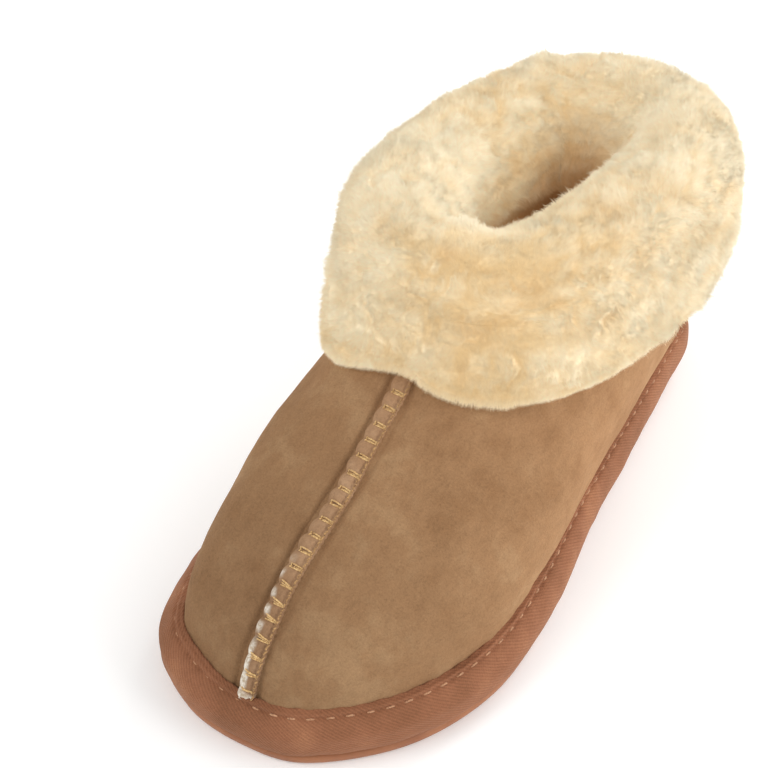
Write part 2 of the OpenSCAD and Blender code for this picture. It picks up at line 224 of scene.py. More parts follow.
def tubes(lines, radius, sides=6, flat=1.0, taper=0.55):
    """Closed rounded threads along many polylines at once. lines: list of (n, 3); gives points, quads, triangles."""
    Vs, Qs, Ts, n0 = [], [], [], 0
    for line in lines:
        p = np.asarray(line, float)
        t = unit(np.gradient(p, axis=0))
        up = np.array([0.13, 0.2, 0.97])
        s = unit(np.cross(t, up)); n = np.cross(s, t)
        k = len(p)
        r = np.full(k, float(radius)); r[0] *= taper; r[-1] *= taper
        a = np.arange(sides) * 2 * np.pi / sides
        ring = p[:, None] + r[:, None, None] * (np.cos(a)[None, :, None] * s[:, None] + flat * np.sin(a)[None, :, None] * n[:, None])
        Vs += [ring.reshape(-1, 3), [p[0] - t[0] * radius * 0.4], [p[-1] + t[-1] * radius * 0.4]]
        Qs.append(grid_quads(k, sides, wrap=True, base=n0, flip=True))
        c0, c1 = n0 + k * sides, n0 + k * sides + 1
        j = np.arange(sides)
        Ts.append(np.c_[np.full(sides, c0), n0 + j, n0 + (j + 1) % sides])
        Ts.append(np.c_[np.full(sides, c1), n0 + (k - 1) * sides + (j + 1) % sides, n0 + (k - 1) * sides + j])
        n0 += k * sides + 2
    return np.concatenate([np.asarray(x).reshape(-1, 3) for x in Vs]), np.concatenate(Qs), np.concatenate(Ts)


def place(ob, slot, *nodes):
    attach(ob, "root")
    if nodes:
        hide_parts(*nodes)
    return ob


# ------------------------------------------------------------------ materials
class Mat:
    def __init__(self, name):
        self.m = bpy.data.materials.new(name)
        self.m.use_nodes = True
        self.t = self.m.node_tree
        self.b = self.t.nodes["Principled BSDF"]
        self.co = self.node("ShaderNodeTexCoord").outputs["Object"]

    def node(self, kind, **kw):
        n = self.t.nodes.new(kind)
        for k, v in kw.items():
            if k.startswith("i_"):
                n.inputs[k[2:].replace("_", " ")].default_value = v
            else:
                setattr(n, k, v)
        return n

    def link(self, a, b):
        self.t.links.new(a, b)
        return self

    def noise(self, scale, detail=3.0, rough=0.55, vec=None, stretch=None):
        n = self.node("ShaderNodeTexNoise")
        n.inputs["Scale"].default_value = scale
        n.inputs["Detail"].default_value = detail
        n.inputs["Roughness"].default_value = rough
        v = vec or self.co
        if stretch:
            mp = self.node("ShaderNodeMapping")
            mp.inputs["Scale"].default_value = stretch
            self.link(v, mp.inputs["Vector"])
            v = mp.outputs["Vector"]
        self.link(v, n.inputs["Vector"])
        return n.outputs["Fac"]

    def ramp(self, fac, stops, interp="LINEAR"):
        r = self.node("ShaderNodeValToRGB")
        r.color_ramp.interpolation = interp
        el = r.color_ramp.elements
        while len(el) > 1:
            el.remove(el[-1])
        el[0].position, el[0].color = stops[0][0], (*stops[0][1], 1)
        for p, c in stops[1:]:
            e = el.new(p); e.color = (*c, 1)
        self.link(fac, r.inputs["Fac"])
        return r.outputs["Color"]

    def mix(self, a, b, fac, mode="MIX"):
        n = self.node("ShaderNodeMix", data_type="RGBA", blend_type=mode)
        for sock, val in ((n.inputs[6], a), (n.inputs[7], b), (n.inputs[0], fac)):
            if isinstance(val, (int, float)):
                sock.default_value = val
            elif isinstance(val, tuple):
                sock.default_value = (*val, 1)
            else:
                self.link(val, sock)
        return n.outputs[2]

    def math(self, op, a, b=None, c=None, clamp=False):
        n = self.node("ShaderNodeMath", operation=op, use_clamp=clamp)
        for i, val in enumerate((a, b, c)):
            if val is None:
                continue
            if isinstance(val, (int, float)):
                n.inputs[i].default_value = val
            else:
                self.link(val, n.inputs[i])
        return n.outputs[0]

    def attr(self, name, out="Fac"):
        return self.node("ShaderNodeAttribute", attribute_name=name).outputs[out]

    def bump(self, height, distance, strength=1.0, prev=None):
        n = self.node("ShaderNodeBump")
        n.inputs["Strength"].default_value = strength
        n.inputs["Distance"].default_value = distance
        self.link(height, n.inputs["Height"])
        if prev is not None:
            self.link(prev, n.inputs["Normal"])
        return n.outputs["Normal"]

    def finish(self, base, rough=0.8, normal=None, sheen=0.0, sheen_tint=(1, 1, 1), sheen_rough=0.5, spec=0.3, **kw):
        if isinstance(base, tuple):
            self.b.inputs["Base Color"].default_value = (*base, 1)
        else:
            self.link(base, self.b.inputs["Base Color"])
        if isinstance(rough, (int, float)):
            self.b.inputs["Roughness"].default_value = rough
        else:
            self.link(rough, self.b.inputs["Roughness"])
        if normal is not None:
            self.link(normal, self.b.inputs["Normal"])
        self.b.inputs["Sheen Weight"].default_value = sheen
        self.b.inputs["Sheen Roughness"].default_value = sheen_rough
        self.b.inputs["Sheen Tint"].default_value = (*sheen_tint, 1)
        self.b.inputs["Specular IOR Level"].default_value = spec
        for k, v in kw.items():
            self.b.inputs[k.replace("_", " ")].default_value = v
        return self.m


def srgb(r, g, b):
    f = lambda c: (c / 255) / 12.92 if c / 255 <= 0.04045 else (((c / 255) + 0.055) / 1.055) ** 2.4
    return (f(r), f(g), f(b))


def suede_material(name, light, mid, dark, seed=0.0, strip=False, sheen=0.2):
    m = Mat(name)
    sh = m.node("ShaderNodeVectorMath", operation="ADD")
    m.link(m.co, sh.inputs[0]); sh.inputs[1].default_value = (seed, seed * 0.7, 0)
    v = sh.outputs[0]
    big = m.noise(26, 3, 0.5, v)                 # brushed patches, 4 cm
    med = m.noise(95, 4, 0.6, v)                 # hand marks, 1 cm
    fine = m.noise(1500, 3, 0.7, v)              # nap
    grit = m.noise(3400, 2, 0.7, v)              # fibre
    streak = m.noise(520, 3, 0.6, v, stretch=(1.0, 0.35, 0.7))
    a = m.math("MULTIPLY_ADD", big, 0.50, m.math("MULTIPLY", med, 0.50))
    base = m.ramp(a, [(0.36, dark), (0.50, mid), (0.63, light)], "EASE")
    f = m.math("MULTIPLY_ADD", fine, 0.5, m.math("MULTIPLY_ADD", grit, 0.25, m.math("MULTIPLY", streak, 0.25)))
    tone = m.ramp(f, [(0.36, (0.80, 0.79, 0.78)), (0.5, (0.985, 0.975, 0.965)), (0.64, (1.14, 1.13, 1.11))])
    col = m.mix(base, tone, 1.0, "MULTIPLY")
    # painted shade and light: the suede is darkened toward the toe and the lateral side and lightened toward the cuff
    # and heel
    ax = m.node("ShaderNodeSeparateXYZ"); m.link(m.co, ax.inputs[0])
    lay = m.math("MULTIPLY_ADD", ax.outputs["Y"], 5.0, m.math("MULTIPLY_ADD", ax.outputs["X"], 1.6, 0.56))
    lay = m.math("ADD", lay, m.math("MULTIPLY_ADD", big, 0.35, -0.17))
    col = m.mix(col, m.ramp(lay, [(0.0, (0.63, 0.635, 0.64)), (0.16, (0.72, 0.73, 0.735)), (0.45, (0.84, 0.84, 0.84)), (0.62, (0.98, 0.98, 0.99))]), 1.0, "MULTIPLY")
    if strip:
        # painted shade in the needle holes and in the pinches at the thread bars
        hole = m.attr("hole")
        col = m.mix(col, m.mix(col, srgb(64, 40, 24), 0.8), hole)
        hide = m.ramp(m.noise(800, 3, 0.7, v), [(0.36, srgb(186, 168, 144)), (0.62, srgb(238, 232, 220))])
        col = m.mix(col, hide, m.math("MULTIPLY", m.attr("raw"), 0.92))
    n1 = m.bump(fine, 0.0006, 0.35)
    n2 = m.bump(grit, 0.0003, 0.30, n1)
    n3 = m.bump(med, 0.0025, 0.25, n2)
    return m.finish(col, 0.93, n3, sheen=sheen, sheen_tint=light, sheen_rough=0.45, spec=0.12)


M_SUEDE = suede_material("suede", srgb(182, 144, 106), srgb(172, 132, 95), srgb(162, 122, 86))
M_STRIP = suede_material("strip_suede", srgb(204, 165, 130), srgb(184, 144, 109), srgb(160, 121, 86), 0.3, True)


def twill_material():
    m = Mat("wrap_twill")
    uvn = m.node("ShaderNodeUVMap", uv_map="cloth").outputs["UV"]
    sep = m.node("ShaderNodeSeparateXYZ"); m.link(uvn, sep.inputs[0])
    # cloth coordinates are millimetres divided by 100
    s, t = sep.outputs["X"], sep.outputs["Y"]
    wob = m.noise(60, 2, 0.5)
    d = m.math("ADD", m.math("MULTIPLY", s, 100 * 0.62), m.math("MULTIPLY", t, 100 * 0.785))
    d = m.math("ADD", d, m.math("MULTIPLY", wob, 1.4))
    rib = m.math("SINE", m.math("MULTIPLY", d, 2 * math.pi / 0.95))
    rib01 = m.math("MULTIPLY_ADD", rib, 0.5, 0.5)
    # the yarns that cross each rib
    c = m.math("SUBTRACT", m.math("MULTIPLY", s, 100 * 0.785), m.math("MULTIPLY", t, 100 * 0.62))
    yarn = m.math("MULTIPLY_ADD", m.math("SINE", m.math("MULTIPLY", c, 2 * math.pi / 0.62)), 0.5, 0.5)
    weave = m.math("MULTIPLY_ADD", rib01, 0.75, m.math("MULTIPLY", yarn, 0.25))
    fuzz = m.noise(1500, 2, 0.7)
    tone = m.noise(45, 3, 0.55)
    base = m.ramp(tone, [(0.35, srgb(134, 88, 61)), (0.55, srgb(148, 98, 70)), (0.68, srgb(161, 110, 79))])
    shade = m.ramp(weave, [(0.1, (0.84, 0.82, 0.81)), (0.45, (0.97, 0.965, 0.96)), (0.9, (1.05, 1.05, 1.05))])
    col = m.mix(base, shade, 1.0, "MULTIPLY")
    fz = m.ramp(fuzz, [(0.35, (0.86, 0.86, 0.86)), (0.65, (1.12, 1.12, 1.12))])
    col = m.mix(col, fz, 0.7, "MULTIPLY")
    n = m.bump(weave, 0.00022, 0.6)
    n = m.bump(fuzz, 0.0003, 0.3, n)
    return m.finish(col, 0.88, n, sheen=0.25, sheen_tint=srgb(220, 180, 150), spec=0.2)


M_TWILL = twill_material()


def thread_material(name, a, b, spec=0.35):
    m = Mat(name)
    f = m.noise(1800, 2, 0.6)
    col = m.ramp(f, [(0.35, a), (0.65, b)])
    w = m.noise(3000, 1, 0.5, stretch=(1, 1.6, 0.6))
    return m.finish(col, 0.55, m.bump(w, 0.0003, 0.6), sheen=0.15, spec=spec)


M_GOLD = thread_material("seam_thread", srgb(180, 136, 82), srgb(238, 202, 142))
M_PALE = thread_material("feather_thread", srgb(158, 110, 78), srgb(204, 156, 118))
M_DARK = thread_material("row_thread", srgb(128, 90, 54), srgb(198, 156, 102))


def rubber_material():
    m = Mat("outsole_rubber")
    rim = m.attr("rim")
    cells = m.node("ShaderNodeTexVoronoi"); cells.inputs["Scale"].default_value = 560
    wob = m.noise(240, 3, 0.6)
    vec = m.node("ShaderNodeVectorMath", operation="ADD")
    sc = m.node("ShaderNodeVectorMath", operation="SCALE"); sc.inputs["Scale"].default_value = 0.0035
    nz = m.node("ShaderNodeTexNoise"); nz.inputs["Scale"].default_value = 300; m.link(m.co, nz.inputs["Vector"])
    m.link(nz.outputs["Color"], sc.inputs[0]); m.link(m.co, vec.inputs[0]); m.link(sc.outputs[0], vec.inputs[1])
    m.link(vec.outputs[0], cells.inputs["Vector"])
    peb = cells.outputs["Distance"]
    tone = m.noise(30, 3, 0.5)
    field = m.ramp(tone, [(0.35, srgb(136, 78, 44)), (0.65, srgb(160, 96, 58))])
    # painted shade: the pebbles are lighter on their tops and darker in the dips between them
    pebble_shade = m.ramp(peb, [(0.15, (1.16, 1.14, 1.1)), (0.55, (0.84, 0.82, 0.8))])
    field = m.mix(field, pebble_shade, 1.0, "MULTIPLY")
    edge = m.ramp(m.noise(80, 2, 0.5), [(0.35, srgb(150, 94, 60)), (0.65, srgb(168, 110, 72))])
    col = m.mix(field, edge, rim)
    hgt = m.math("MULTIPLY", m.math("SUBTRACT", 1.0, peb), m.math("SUBTRACT", 1.0, rim))
    n = m.bump(hgt, 0.0009, 0.9)
    n = m.bump(m.noise(1400, 2, 0.6), 0.0002, 0.3, n)
    rough = m.math("MULTIPLY_ADD", wob, 0.25, 0.36)
    return m.finish(col, rough, n, spec=0.45)


M_RUBBER = rubber_material()


def plain_fuzzy(name, a, b, scale, bump=0.0004, rough=0.92, sheen=0.2):
    m = Mat(name)
    f = m.noise(scale, 4, 0.6)
    g = m.noise(scale * 9, 2, 0.6)
    col = m.ramp(m.math("MULTIPLY_ADD", f, 0.6, m.math("MULTIPLY", g, 0.4)), [(0.36, a), (0.64, b)])
    return m.finish(col, rough, m.bump(g, bump, 0.6), sheen=sheen, spec=0.2)


M_FOAM = plain_fuzzy("platform_foam", srgb(206, 194, 172), srgb(224, 214, 196), 160, 0.0003, 0.85, 0.0)
M_BOARD = plain_fuzzy("board_fibre", srgb(168, 150, 120), srgb(192, 176, 148), 140, 0.0003, 0.9, 0.0)
M_SOCK = plain_fuzzy("sock_skin", srgb(206, 186, 152), srgb(226, 210, 180), 120)
M_EDGE = plain_fuzzy("cut_skin", srgb(206, 202, 196), srgb(240, 236, 230), 220, 0.0005)


def fleece_material(name, gain=0.76, painted_glow=0.53):
    m = Mat(name)
    tint = m.attr("tint", "Color")
    tone = m.noise(55, 3, 0.55)
    fine = m.noise(700, 3, 0.65)
    warm = m.ramp(tone, [(0.34, tuple(gain * c for c in (0.98, 0.967, 0.93))), (0.52, tuple(gain * c for c in (0.975, 0.975, 0.955))),
                         (0.66, tuple(gain * c for c in (0.98, 0.95, 0.90)))])
    col = m.mix(tint, warm, 1.0, "MULTIPLY")
    fz = m.ramp(fine, [(0.36, (0.95, 0.94, 0.93)), (0.62, (1.03, 1.03, 1.03))])
    col = m.mix(col, fz, 0.8, "MULTIPLY")
    m.link(m.mix(col, (0.96, 0.895, 0.785), 1.0, "MULTIPLY"), m.b.inputs["Emission Color"])    # painted glow: emission in the wool's warmed colour stands in for light scattered back through the wool and lifts its shade
    m.b.inputs["Emission Strength"].default_value = painted_glow
    return m.finish(col, 0.95, m.bump(fine, 0.0006, 0.35), spec=0.05)


M_FLEECE = fleece_material("fleece")
M_LINING = fleece_material("lining_fleece", 0.80, 0.42)

for nm, mt in (("platform", M_FOAM), ("insole_board", M_BOARD), ("insole_sock_skin", M_SOCK)):
    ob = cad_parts[nm]
    ob.data.materials.clear()
    ob.data.materials.append(mt)

# ------------------------------------------------------------------ sole: outsole and wrap
STITCHES = 98
uu = np.linspace(0, NS, 721)[:-1]
peri = P(uu, 0 * uu)
seg = np.linalg.norm(np.roll(peri, -1, 0) - peri, axis=1)
arc = np.concatenate([[0], np.cumsum(seg)[:-1]])     # mm along the feather seam
PERI = seg.sum()


def arc_at(u):
    return np.interp(np.mod(u, NS), np.append(uu, NS), np.append(arc, PERI))


def u_of(a):
    return np.interp(np.mod(a, PERI), np.append(arc, PERI), np.append(uu, NS))


WRAP_TRIM = np.array([0.9, 1.2, 1.1, 0.5, 0, 0, 0, 0, 0, 0, 0, 0, 0, 0, 0.8, 1.6, 1.5, 0.7])      # mm off the wrap's fullness round the toe


def oring(k, f, z, u):
    T = OUTLINE - SN * (k + f * FEATHER)[:, None] if not np.isscalar(f) or f else OUTLINE - SN * k
    if np.isscalar(f) and not f:
        T = OUTLINE - SN * k
    q = ev(T, u)
    return np.c_[q, np.full(len(u), z)]


def build_outsole():
    u = np.linspace(0, NS, 541)[:-1]
    prof = [(22, 0.12), (14, 0.12), (7.2, 0.12), (6.4, 0.16), (6.0, 0.62), (5.5, 0.78), (5.0, 0.5), (4.7, 0.0), (4.1, 0.0),
            (3.3, 0.05), (2.8, 0.3), (2.45, 0.8), (2.3, 1.4), (2.2, 2.3), (2.25, 3.1), (2.6, 3.65), (3.2, 3.97), (6, 4.0)]
    rows = [oring(k, 0, z, u) for k, z in prof]
    V = np.array(rows)
    V[7:16, :, 2] += 0  # the rim stays level: the slipper stands on it
    a, b = V.shape[:2]
    rim = np.array([0, 0, 0, 0.1, 0.8, 1, 1, 1, 1, 1, 1, 1, 1, 1, 1, 1, 1, 1])[:, None] * np.ones((1, b))
    ob = mesh("outsole_moulded", V, Q=grid_quads(a, b, wrap=True), NG=[np.arange(b)[::-1], np.arange(b) + (a - 1) * b],
              mat=M_RUBBER, extra={"rim": rim.ravel()})
    return place(ob, "outsole_rubber", "outsole")


def build_wrap():
    n = 1080
    u = np.linspace(0, NS, n + 1)[:-1]
    s = arc_at(u)
    rows = [oring(3.6, 0, Z1, u), oring(1.2, 0, Z1 + 1, u), oring(0, 0, Z1 + 4.5, u), oring(0.3, 0, Z1 + 9, u)]
    fe = FEATHER
    T4, T5 = OUTLINE - SN * (0.38 * fe)[:, None], OUTLINE - SN * (0.72 * fe)[:, None]
    rows += [np.c_[ev(T4, u), np.full(n, ZF - 2.3)], np.c_[ev(T5, u), np.full(n, ZF - 0.6)]]
    pf = P(u, 0 * u)
    nf = N(u, 0 * u)
    lip = pf + nf * 0.55; lip[:, 2] = ZF + 0.62
    rows.append(lip)
    C = np.array(rows)                               # 7 control rows
    tt = np.linspace(0, 6, 43)
    k = np.clip(np.floor(tt).astype(int), 0, 5)
    X = np.concatenate([[2 * C[0] - C[1]], C, [2 * C[6] - C[5]]])
    w = crw(tt - k)
    O = sum(w[:, m, None, None] * X[k + m] for m in range(4))
    # normals of the strip
    du = np.roll(O, -1, 1) - np.roll(O, 1, 1)
    dt = np.gradient(O, axis=0)
    nn = unit(np.cross(du, dt))
    # cloth coordinates in mm: along the seam, and round the section
    ds = np.concatenate([np.zeros((1, n)), np.cumsum(np.linalg.norm(np.diff(O, axis=0), axis=2), 0)], 0)
    ph = 2 * np.pi * s / (PERI / STITCHES)
    row = tt[:, None]
    puff = 0.45 * vnoise(np.stack([np.broadcast_to(s / 1.0, O.shape[:2]), ds * 1.5, 0 * ds], -1), 14, 5)
    puff += 0.18 * vnoise(np.stack([np.broadcast_to(s / 1.0, O.shape[:2]), ds * 1.2, 0 * ds], -1), 5, 6)
    gat = vnoise(np.stack([np.broadcast_to(s / 1.0, O.shape[:2]), ds * 0.35, 0 * ds], -1), 1.9, 15)
    puff += 0.16 * gat * np.exp(-((row - 4.9) / 0.9) ** 2)
    groove = -0.50 * np.exp(-((row - 5.0) / 0.20) ** 2) * (0.72 + 0.28 * np.cos(ph)[None])
    lipup = np.clip((row - 5.15) / 0.85, 0, 1)
    lipb = 0.42 * np.sin(lipup * np.pi) * (1 + 0.30 * np.cos(ph + 0.6 * np.sin(s / 9))[None] + 0.25 * vnoise(np.stack([s, 0 * s, 0 * s], -1), 9, 8)[None])
    fade = np.clip(row / 1.0, 0, 1) * np.clip((6 - row) / 0.4, 0, 1)
    trim = ev(WRAP_TRIM, u)[None] * np.clip(1 - abs(row - 2.4) / 2.4, 0, 1) ** 0.7
    O = O + nn * (puff * fade + groove + lipb - trim)[..., None]
    # the folded edge rolls on to the suede
    wav = 0.22 * np.cos(ph + 0.6 * np.sin(s / 9)) + 0.30 * vnoise(np.stack([s, 0 * s, 0 * s], -1), 11, 9)
    for dn_, dz in ((0.10, 1.05), (-0.45, 1.0), (-0.9, 0.5)):
        e = pf + nf * dn_; e[:, 2] = ZF + dz + wav
        O = np.concatenate([O, e[None]])
    ds = np.concatenate([ds, ds[-1:] + 0.6, ds[-1:] + 1.2, ds[-1:] + 1.8])
    # inner face, tucked against the platform
    irows = [oring(5.4, 0, Z1, u), oring(2.9, 0, Z1 + 1.9, u), oring(1.8, 0, Z1 + 4.7, u), oring(2.1, 0, Z1 + 8.7, u)]
    T4i, T5i = OUTLINE - SN * (1.5 + 0.42 * fe)[:, None], OUTLINE - SN * (0.6 + 0.78 * fe)[:, None]
    irows += [np.c_[ev(T4i, u), np.full(n, ZF - 3.6)], np.c_[ev(T5i, u), np.full(n, ZF - 2.3)]]
    li = pf - nf * 0.9; li[:, 2] = ZF - 1.8
    irows.append(li)
    I = np.array(irows)[::-1]
    G = np.concatenate([O, I])
    a = len(G)
    Q = grid_quads(a, n, wrap=True)
    last = np.stack([(a - 1) * n + np.arange(n), (a - 1) * n + (np.arange(n) + 1) % n, (np.arange(n) + 1) % n, np.arange(n)], -1)
    Q = np.concatenate([Q, last])
    # uv per corner so that the cloth does not jump at the join
    sm = np.broadcast_to(s, (a, n)).ravel()
    tm = np.concatenate([ds, ds[-1:] + 2 + np.arange(len(I))[:, None] * 2.5 * np.ones((1, n))]).ravel()
    cs, ct = sm[Q], tm[Q]
    cs = np.where((cs.max(1, keepdims=True) - cs) > PERI / 2, cs + PERI, cs)
    ob = mesh("platform_wrap_twill", G, Q=Q, mat=M_TWILL, uv={"cloth": np.stack([cs / 100, ct / 100], -1).reshape(-1, 2)})
    place(ob, "wrap_twill", "platform_wrap")
    return O, nn, tt, u, s


build_outsole()
WRAP = build_wrap()


def build_feather_stitches():
    O, nn, tt, u, s = WRAP
    r = int(np.argmin(abs(tt - 5.0)))
    line, nl = O[r], nn[r]
    n = len(u)
    lines = []
    pitch = PERI / STITCHES
    for i in range(STITCHES):
        c = (i + 0.5) * pitch + RNG.uniform(-0.25, 0.25)
        L = 2.7 + RNG.uniform(-0.5, 0.3)
        q = np.linspace(-L / 2, L / 2, 7)
        uq = u_of(c + q) / NS * n
        j = np.floor(uq).astype(int); f = (uq - j)[:, None]
        p = line[j % n] * (1 - f) + line[(j + 1) % n] * f
        m = nl[j % n]
        uc = float(u_of(np.array([c]))[0])
        sink = 0.34 * min(max((uc - 13.2) / 2.0, 0), 1) * min(max((18.3 - uc) / 0.5, 0), 1) + RNG.uniform(0, 0.16)
        h = 0.20 - sink - 0.60 * (abs(q) / (L / 2)) ** 4
        lines.append(p + m * h[:, None])
    V, Q, T = tubes(lines, 0.34, 8, 0.8)
    return place(mesh("feather_stitches", V, Q=Q, T=T, mat=M_PALE), "feather_thread", "feather_stitching")


build_feather_stitches()


# ------------------------------------------------------------------ upper: suede skins
def seam_u(sdist, v, c=0.0):
    e = 0.05
    d = np.linalg.norm(P(c + e + 0 * v, v) - P(c - e + 0 * v, v), axis=-1) / (2 * e)
    return c + sdist / d


def suede_relief(u, v, p):
    """How far the suede stands from its mean surface, mm."""
    d = 0.55 * vnoise(p, 34, 11) + 0.28 * vnoise(p, 13, 12) + 0.07 * vnoise(p, 4.5, 13)
    z = p[..., 2]
    h = np.clip(z - ZF, 0, None)
    ph = 2 * np.pi * arc_at(u) / (PERI / STITCHES)
    d -= 0.30 * np.exp(-h / 1.6)
    d += 0.13 * np.exp(-h / 3.5) * np.cos(0.5 * ph + 1.2 * np.sin(arc_at(u) / 13)) + 0.10 * np.exp(-h / 2.5) * np.cos(ph)
    um = np.mod(u + 4.5, NS) - 4.5
    for c, sgn in ((0.0, 1.0), (9.0, -1.0)):
        e = 0.05
        du = um - c
        near = abs(du) < 2
        m = np.linalg.norm(P(c + e, v) - P(c - e, v), axis=-1) / (2 * e)
        s = sgn * du * m
        left, right = np.exp(-((s + 4.3) / 1.25) ** 2), np.exp(-((s - 3.7) / 1.0) ** 2)
        lseam = v * 26.0
        d += np.where(near, -1.5 * left - 0.6 * right + 0.14 * np.exp(-((abs(s) - 6.5) / 3) ** 2) * np.cos(2 * np.pi * lseam / 5.6 + s * 0.4), 0)
    d *= np.clip((4.9 - v) / 0.4, 0, 1)
    return d


def build_quarter(half, name, node):
    nu, nv = 300, 104
    u = np.linspace(9 * half, 9 * half + 9, nu)
    v = np.linspace(0, 1, nv) ** 1.15 * 5
    U, W = np.meshgrid(u, v)
    p, n = P(U, W), N(U, W)
    O = p + n * suede_relief(U, W, p)[..., None]
    I = p - n * SKIN
    lipo, lipi = p[0].copy(), I[0].copy()
    lipo[:, 2] = lipi[:, 2] = Z2
    O = np.concatenate([lipo[None], O]); I = np.concatenate([lipi[None], I])
    V, Q = shell(O, I)
    return place(mesh(name, V, Q=Q, mat=M_SUEDE), "suede", node)


build_quarter(0, "quarter_medial_suede", "quarter_medial")
build_quarter(1, "quarter_lateral_suede", "quarter_lateral")


# ------------------------------------------------------------------ seam strips and their thread
PITCH = 5.6


class Seam:
    """One seam of the upper: the strip over it, its pinches at the thread bars, and points on it in mm."""

    def __init__(self, c, sgn, seed):
        self.c, self.sgn = c, sgn
        r = np.random.default_rng(seed)
        top = float(vh(np.array([c]))[0]) + 0.12
        self.v = np.linspace(0, top, 600)
        p = P(c + 0 * self.v, self.v)
        self.l = np.concatenate([[0], np.cumsum(np.linalg.norm(np.diff(p, axis=0), axis=1))])
        self.L = self.l[-1]
        k = np.arange(-1, int(self.L / PITCH) + 3)
        self.bars = 2.6 + PITCH * k + r.uniform(-0.35, 0.35, len(k))
        self.puff = 1 + r.uniform(-0.18, 0.18, len(k))

    def phase(self, l):
        i = np.clip(np.searchsorted(self.bars, l) - 1, 0, len(self.bars) - 2)
        return (l - self.bars[i]) / (self.bars[i + 1] - self.bars[i]), i

    def height(self, a, l):
        """Height of the strip above the suede; a is -1 at the puffed side and +1 at the sewn side."""
        f, i = self.phase(l)
        f = np.clip(f, 0, 1)
        pil = np.sin(np.pi * f) ** 0.62
        t = np.clip((a + 0.16) / 0.84, -1, 1)
        bulge = 2.05 * np.clip(1 - abs(t) ** 2.6, 0, 1) ** 0.60 * (0.50 + 0.50 * pil) * self.puff[i]
        t2 = np.clip((a - 0.76) / 0.24, -1, 1)
        ribbon = 1.15 * np.clip(1 - abs(t2) ** 4, 0, 1) ** 0.5 * (0.90 + 0.10 * pil)
        h = np.maximum(bulge, ribbon)
        near = np.minimum(f, 1 - f) * PITCH
        h = h - 0.50 * np.exp(-(near / 0.55) ** 2) * np.exp(-((a - 0.10) / 0.72) ** 4) * np.clip(h, 0, 1)
        return np.maximum(h, 0.02)

    def half(self, a, l):
        f, i = self.phase(l)
        pil = np.sin(np.pi * np.clip(f, 0, 1)) ** 0.8
        toe = np.clip(l / 30, 0.25, 1)
        return np.where(a < 0, 2.85 + 0.95 * pil * self.puff[i] * toe, 2.80 + 0.12 * np.cos(2 * np.pi * l / 1.87))

    def at(self, a, l, h):
        a, l = np.asarray(a, float), np.asarray(l, float)
        vv = np.interp(l, self.l, self.v)
        sd = self.sgn * (a * self.half(a, l)) + 0.35 * np.sin(l / 8.0)
        e = 0.05
        m = np.linalg.norm(P(self.c + e, vv) - P(self.c - e, vv), axis=-1) / (2 * e)
        u = self.c + sd / m
        return P(u, vv) + N(u, vv) * (h - 0.12)[..., None]

    def on(self, a, l, lift):
        return self.at(a, l, self.height(a, l) + lift)


def build_strip(s, name, node, toe):
    nl, na = int(s.L / 0.28), 37
    a = np.sin(np.linspace(-np.pi / 2, np.pi / 2, na))
    l = np.linspace(0, s.L, nl)
    A, Lg = np.meshgrid(a, l)
    q = np.stack([A * 3, Lg, 0 * A], -1)
    h = s.height(A, Lg) + 0.09 * vnoise(q, 2.0, 31) + 0.05 * vnoise(q, 0.9, 32)
    O = s.at(A, Lg, h)
    I = s.at(A, Lg, np.full(A.shape, -0.6))
    if s.sgn < 0:
        O, I = O[:, ::-1], I[:, ::-1]
    f, i = s.phase(Lg)
    near = np.minimum(abs(f), abs(1 - f)) * PITCH
    # painted shade: dark at the needle holes and in the pinches at the thread bars
    hole = np.exp(-(near / 0.50) ** 2) * np.exp(-((A - 0.80) / 0.11) ** 2)
    hole = np.maximum(hole, 0.45 * np.exp(-(near / 0.55) ** 2) * np.exp(-((A + 0.15) / 0.2) ** 2))
    if toe:
        wob = vnoise(q, 3.0, 33)
        edge = -0.02 + 0.28 * wob - 0.006 * np.clip(Lg, 0, 40)
        run = np.clip((20 - Lg) / 4, 0, 1)
        patch = np.clip(np.sin(np.pi * np.clip(f, 0, 1)) * 1.6 - 0.75 + 0.5 * wob, 0, 1) * np.clip((46 - Lg) / 8, 0, 1)
        raw = np.clip((edge - A) / 0.26, 0, 1) * np.maximum(run, patch)
        raw = np.maximum(raw, np.clip((2.6 + 0.9 * wob - Lg) / 0.9, 0, 1))
    else:
        raw = 0 * A
    if s.sgn < 0:
        hole, raw = hole[:, ::-1], raw[:, ::-1]
    V, Q = shell(O, I)
    z = np.zeros(A.size)
    ob = mesh(name, V, Q=Q, mat=M_STRIP, extra={"raw": np.concatenate([raw.ravel(), z]), "hole": np.concatenate([hole.ravel(), z])})
    return place(ob, "strip_suede", node)


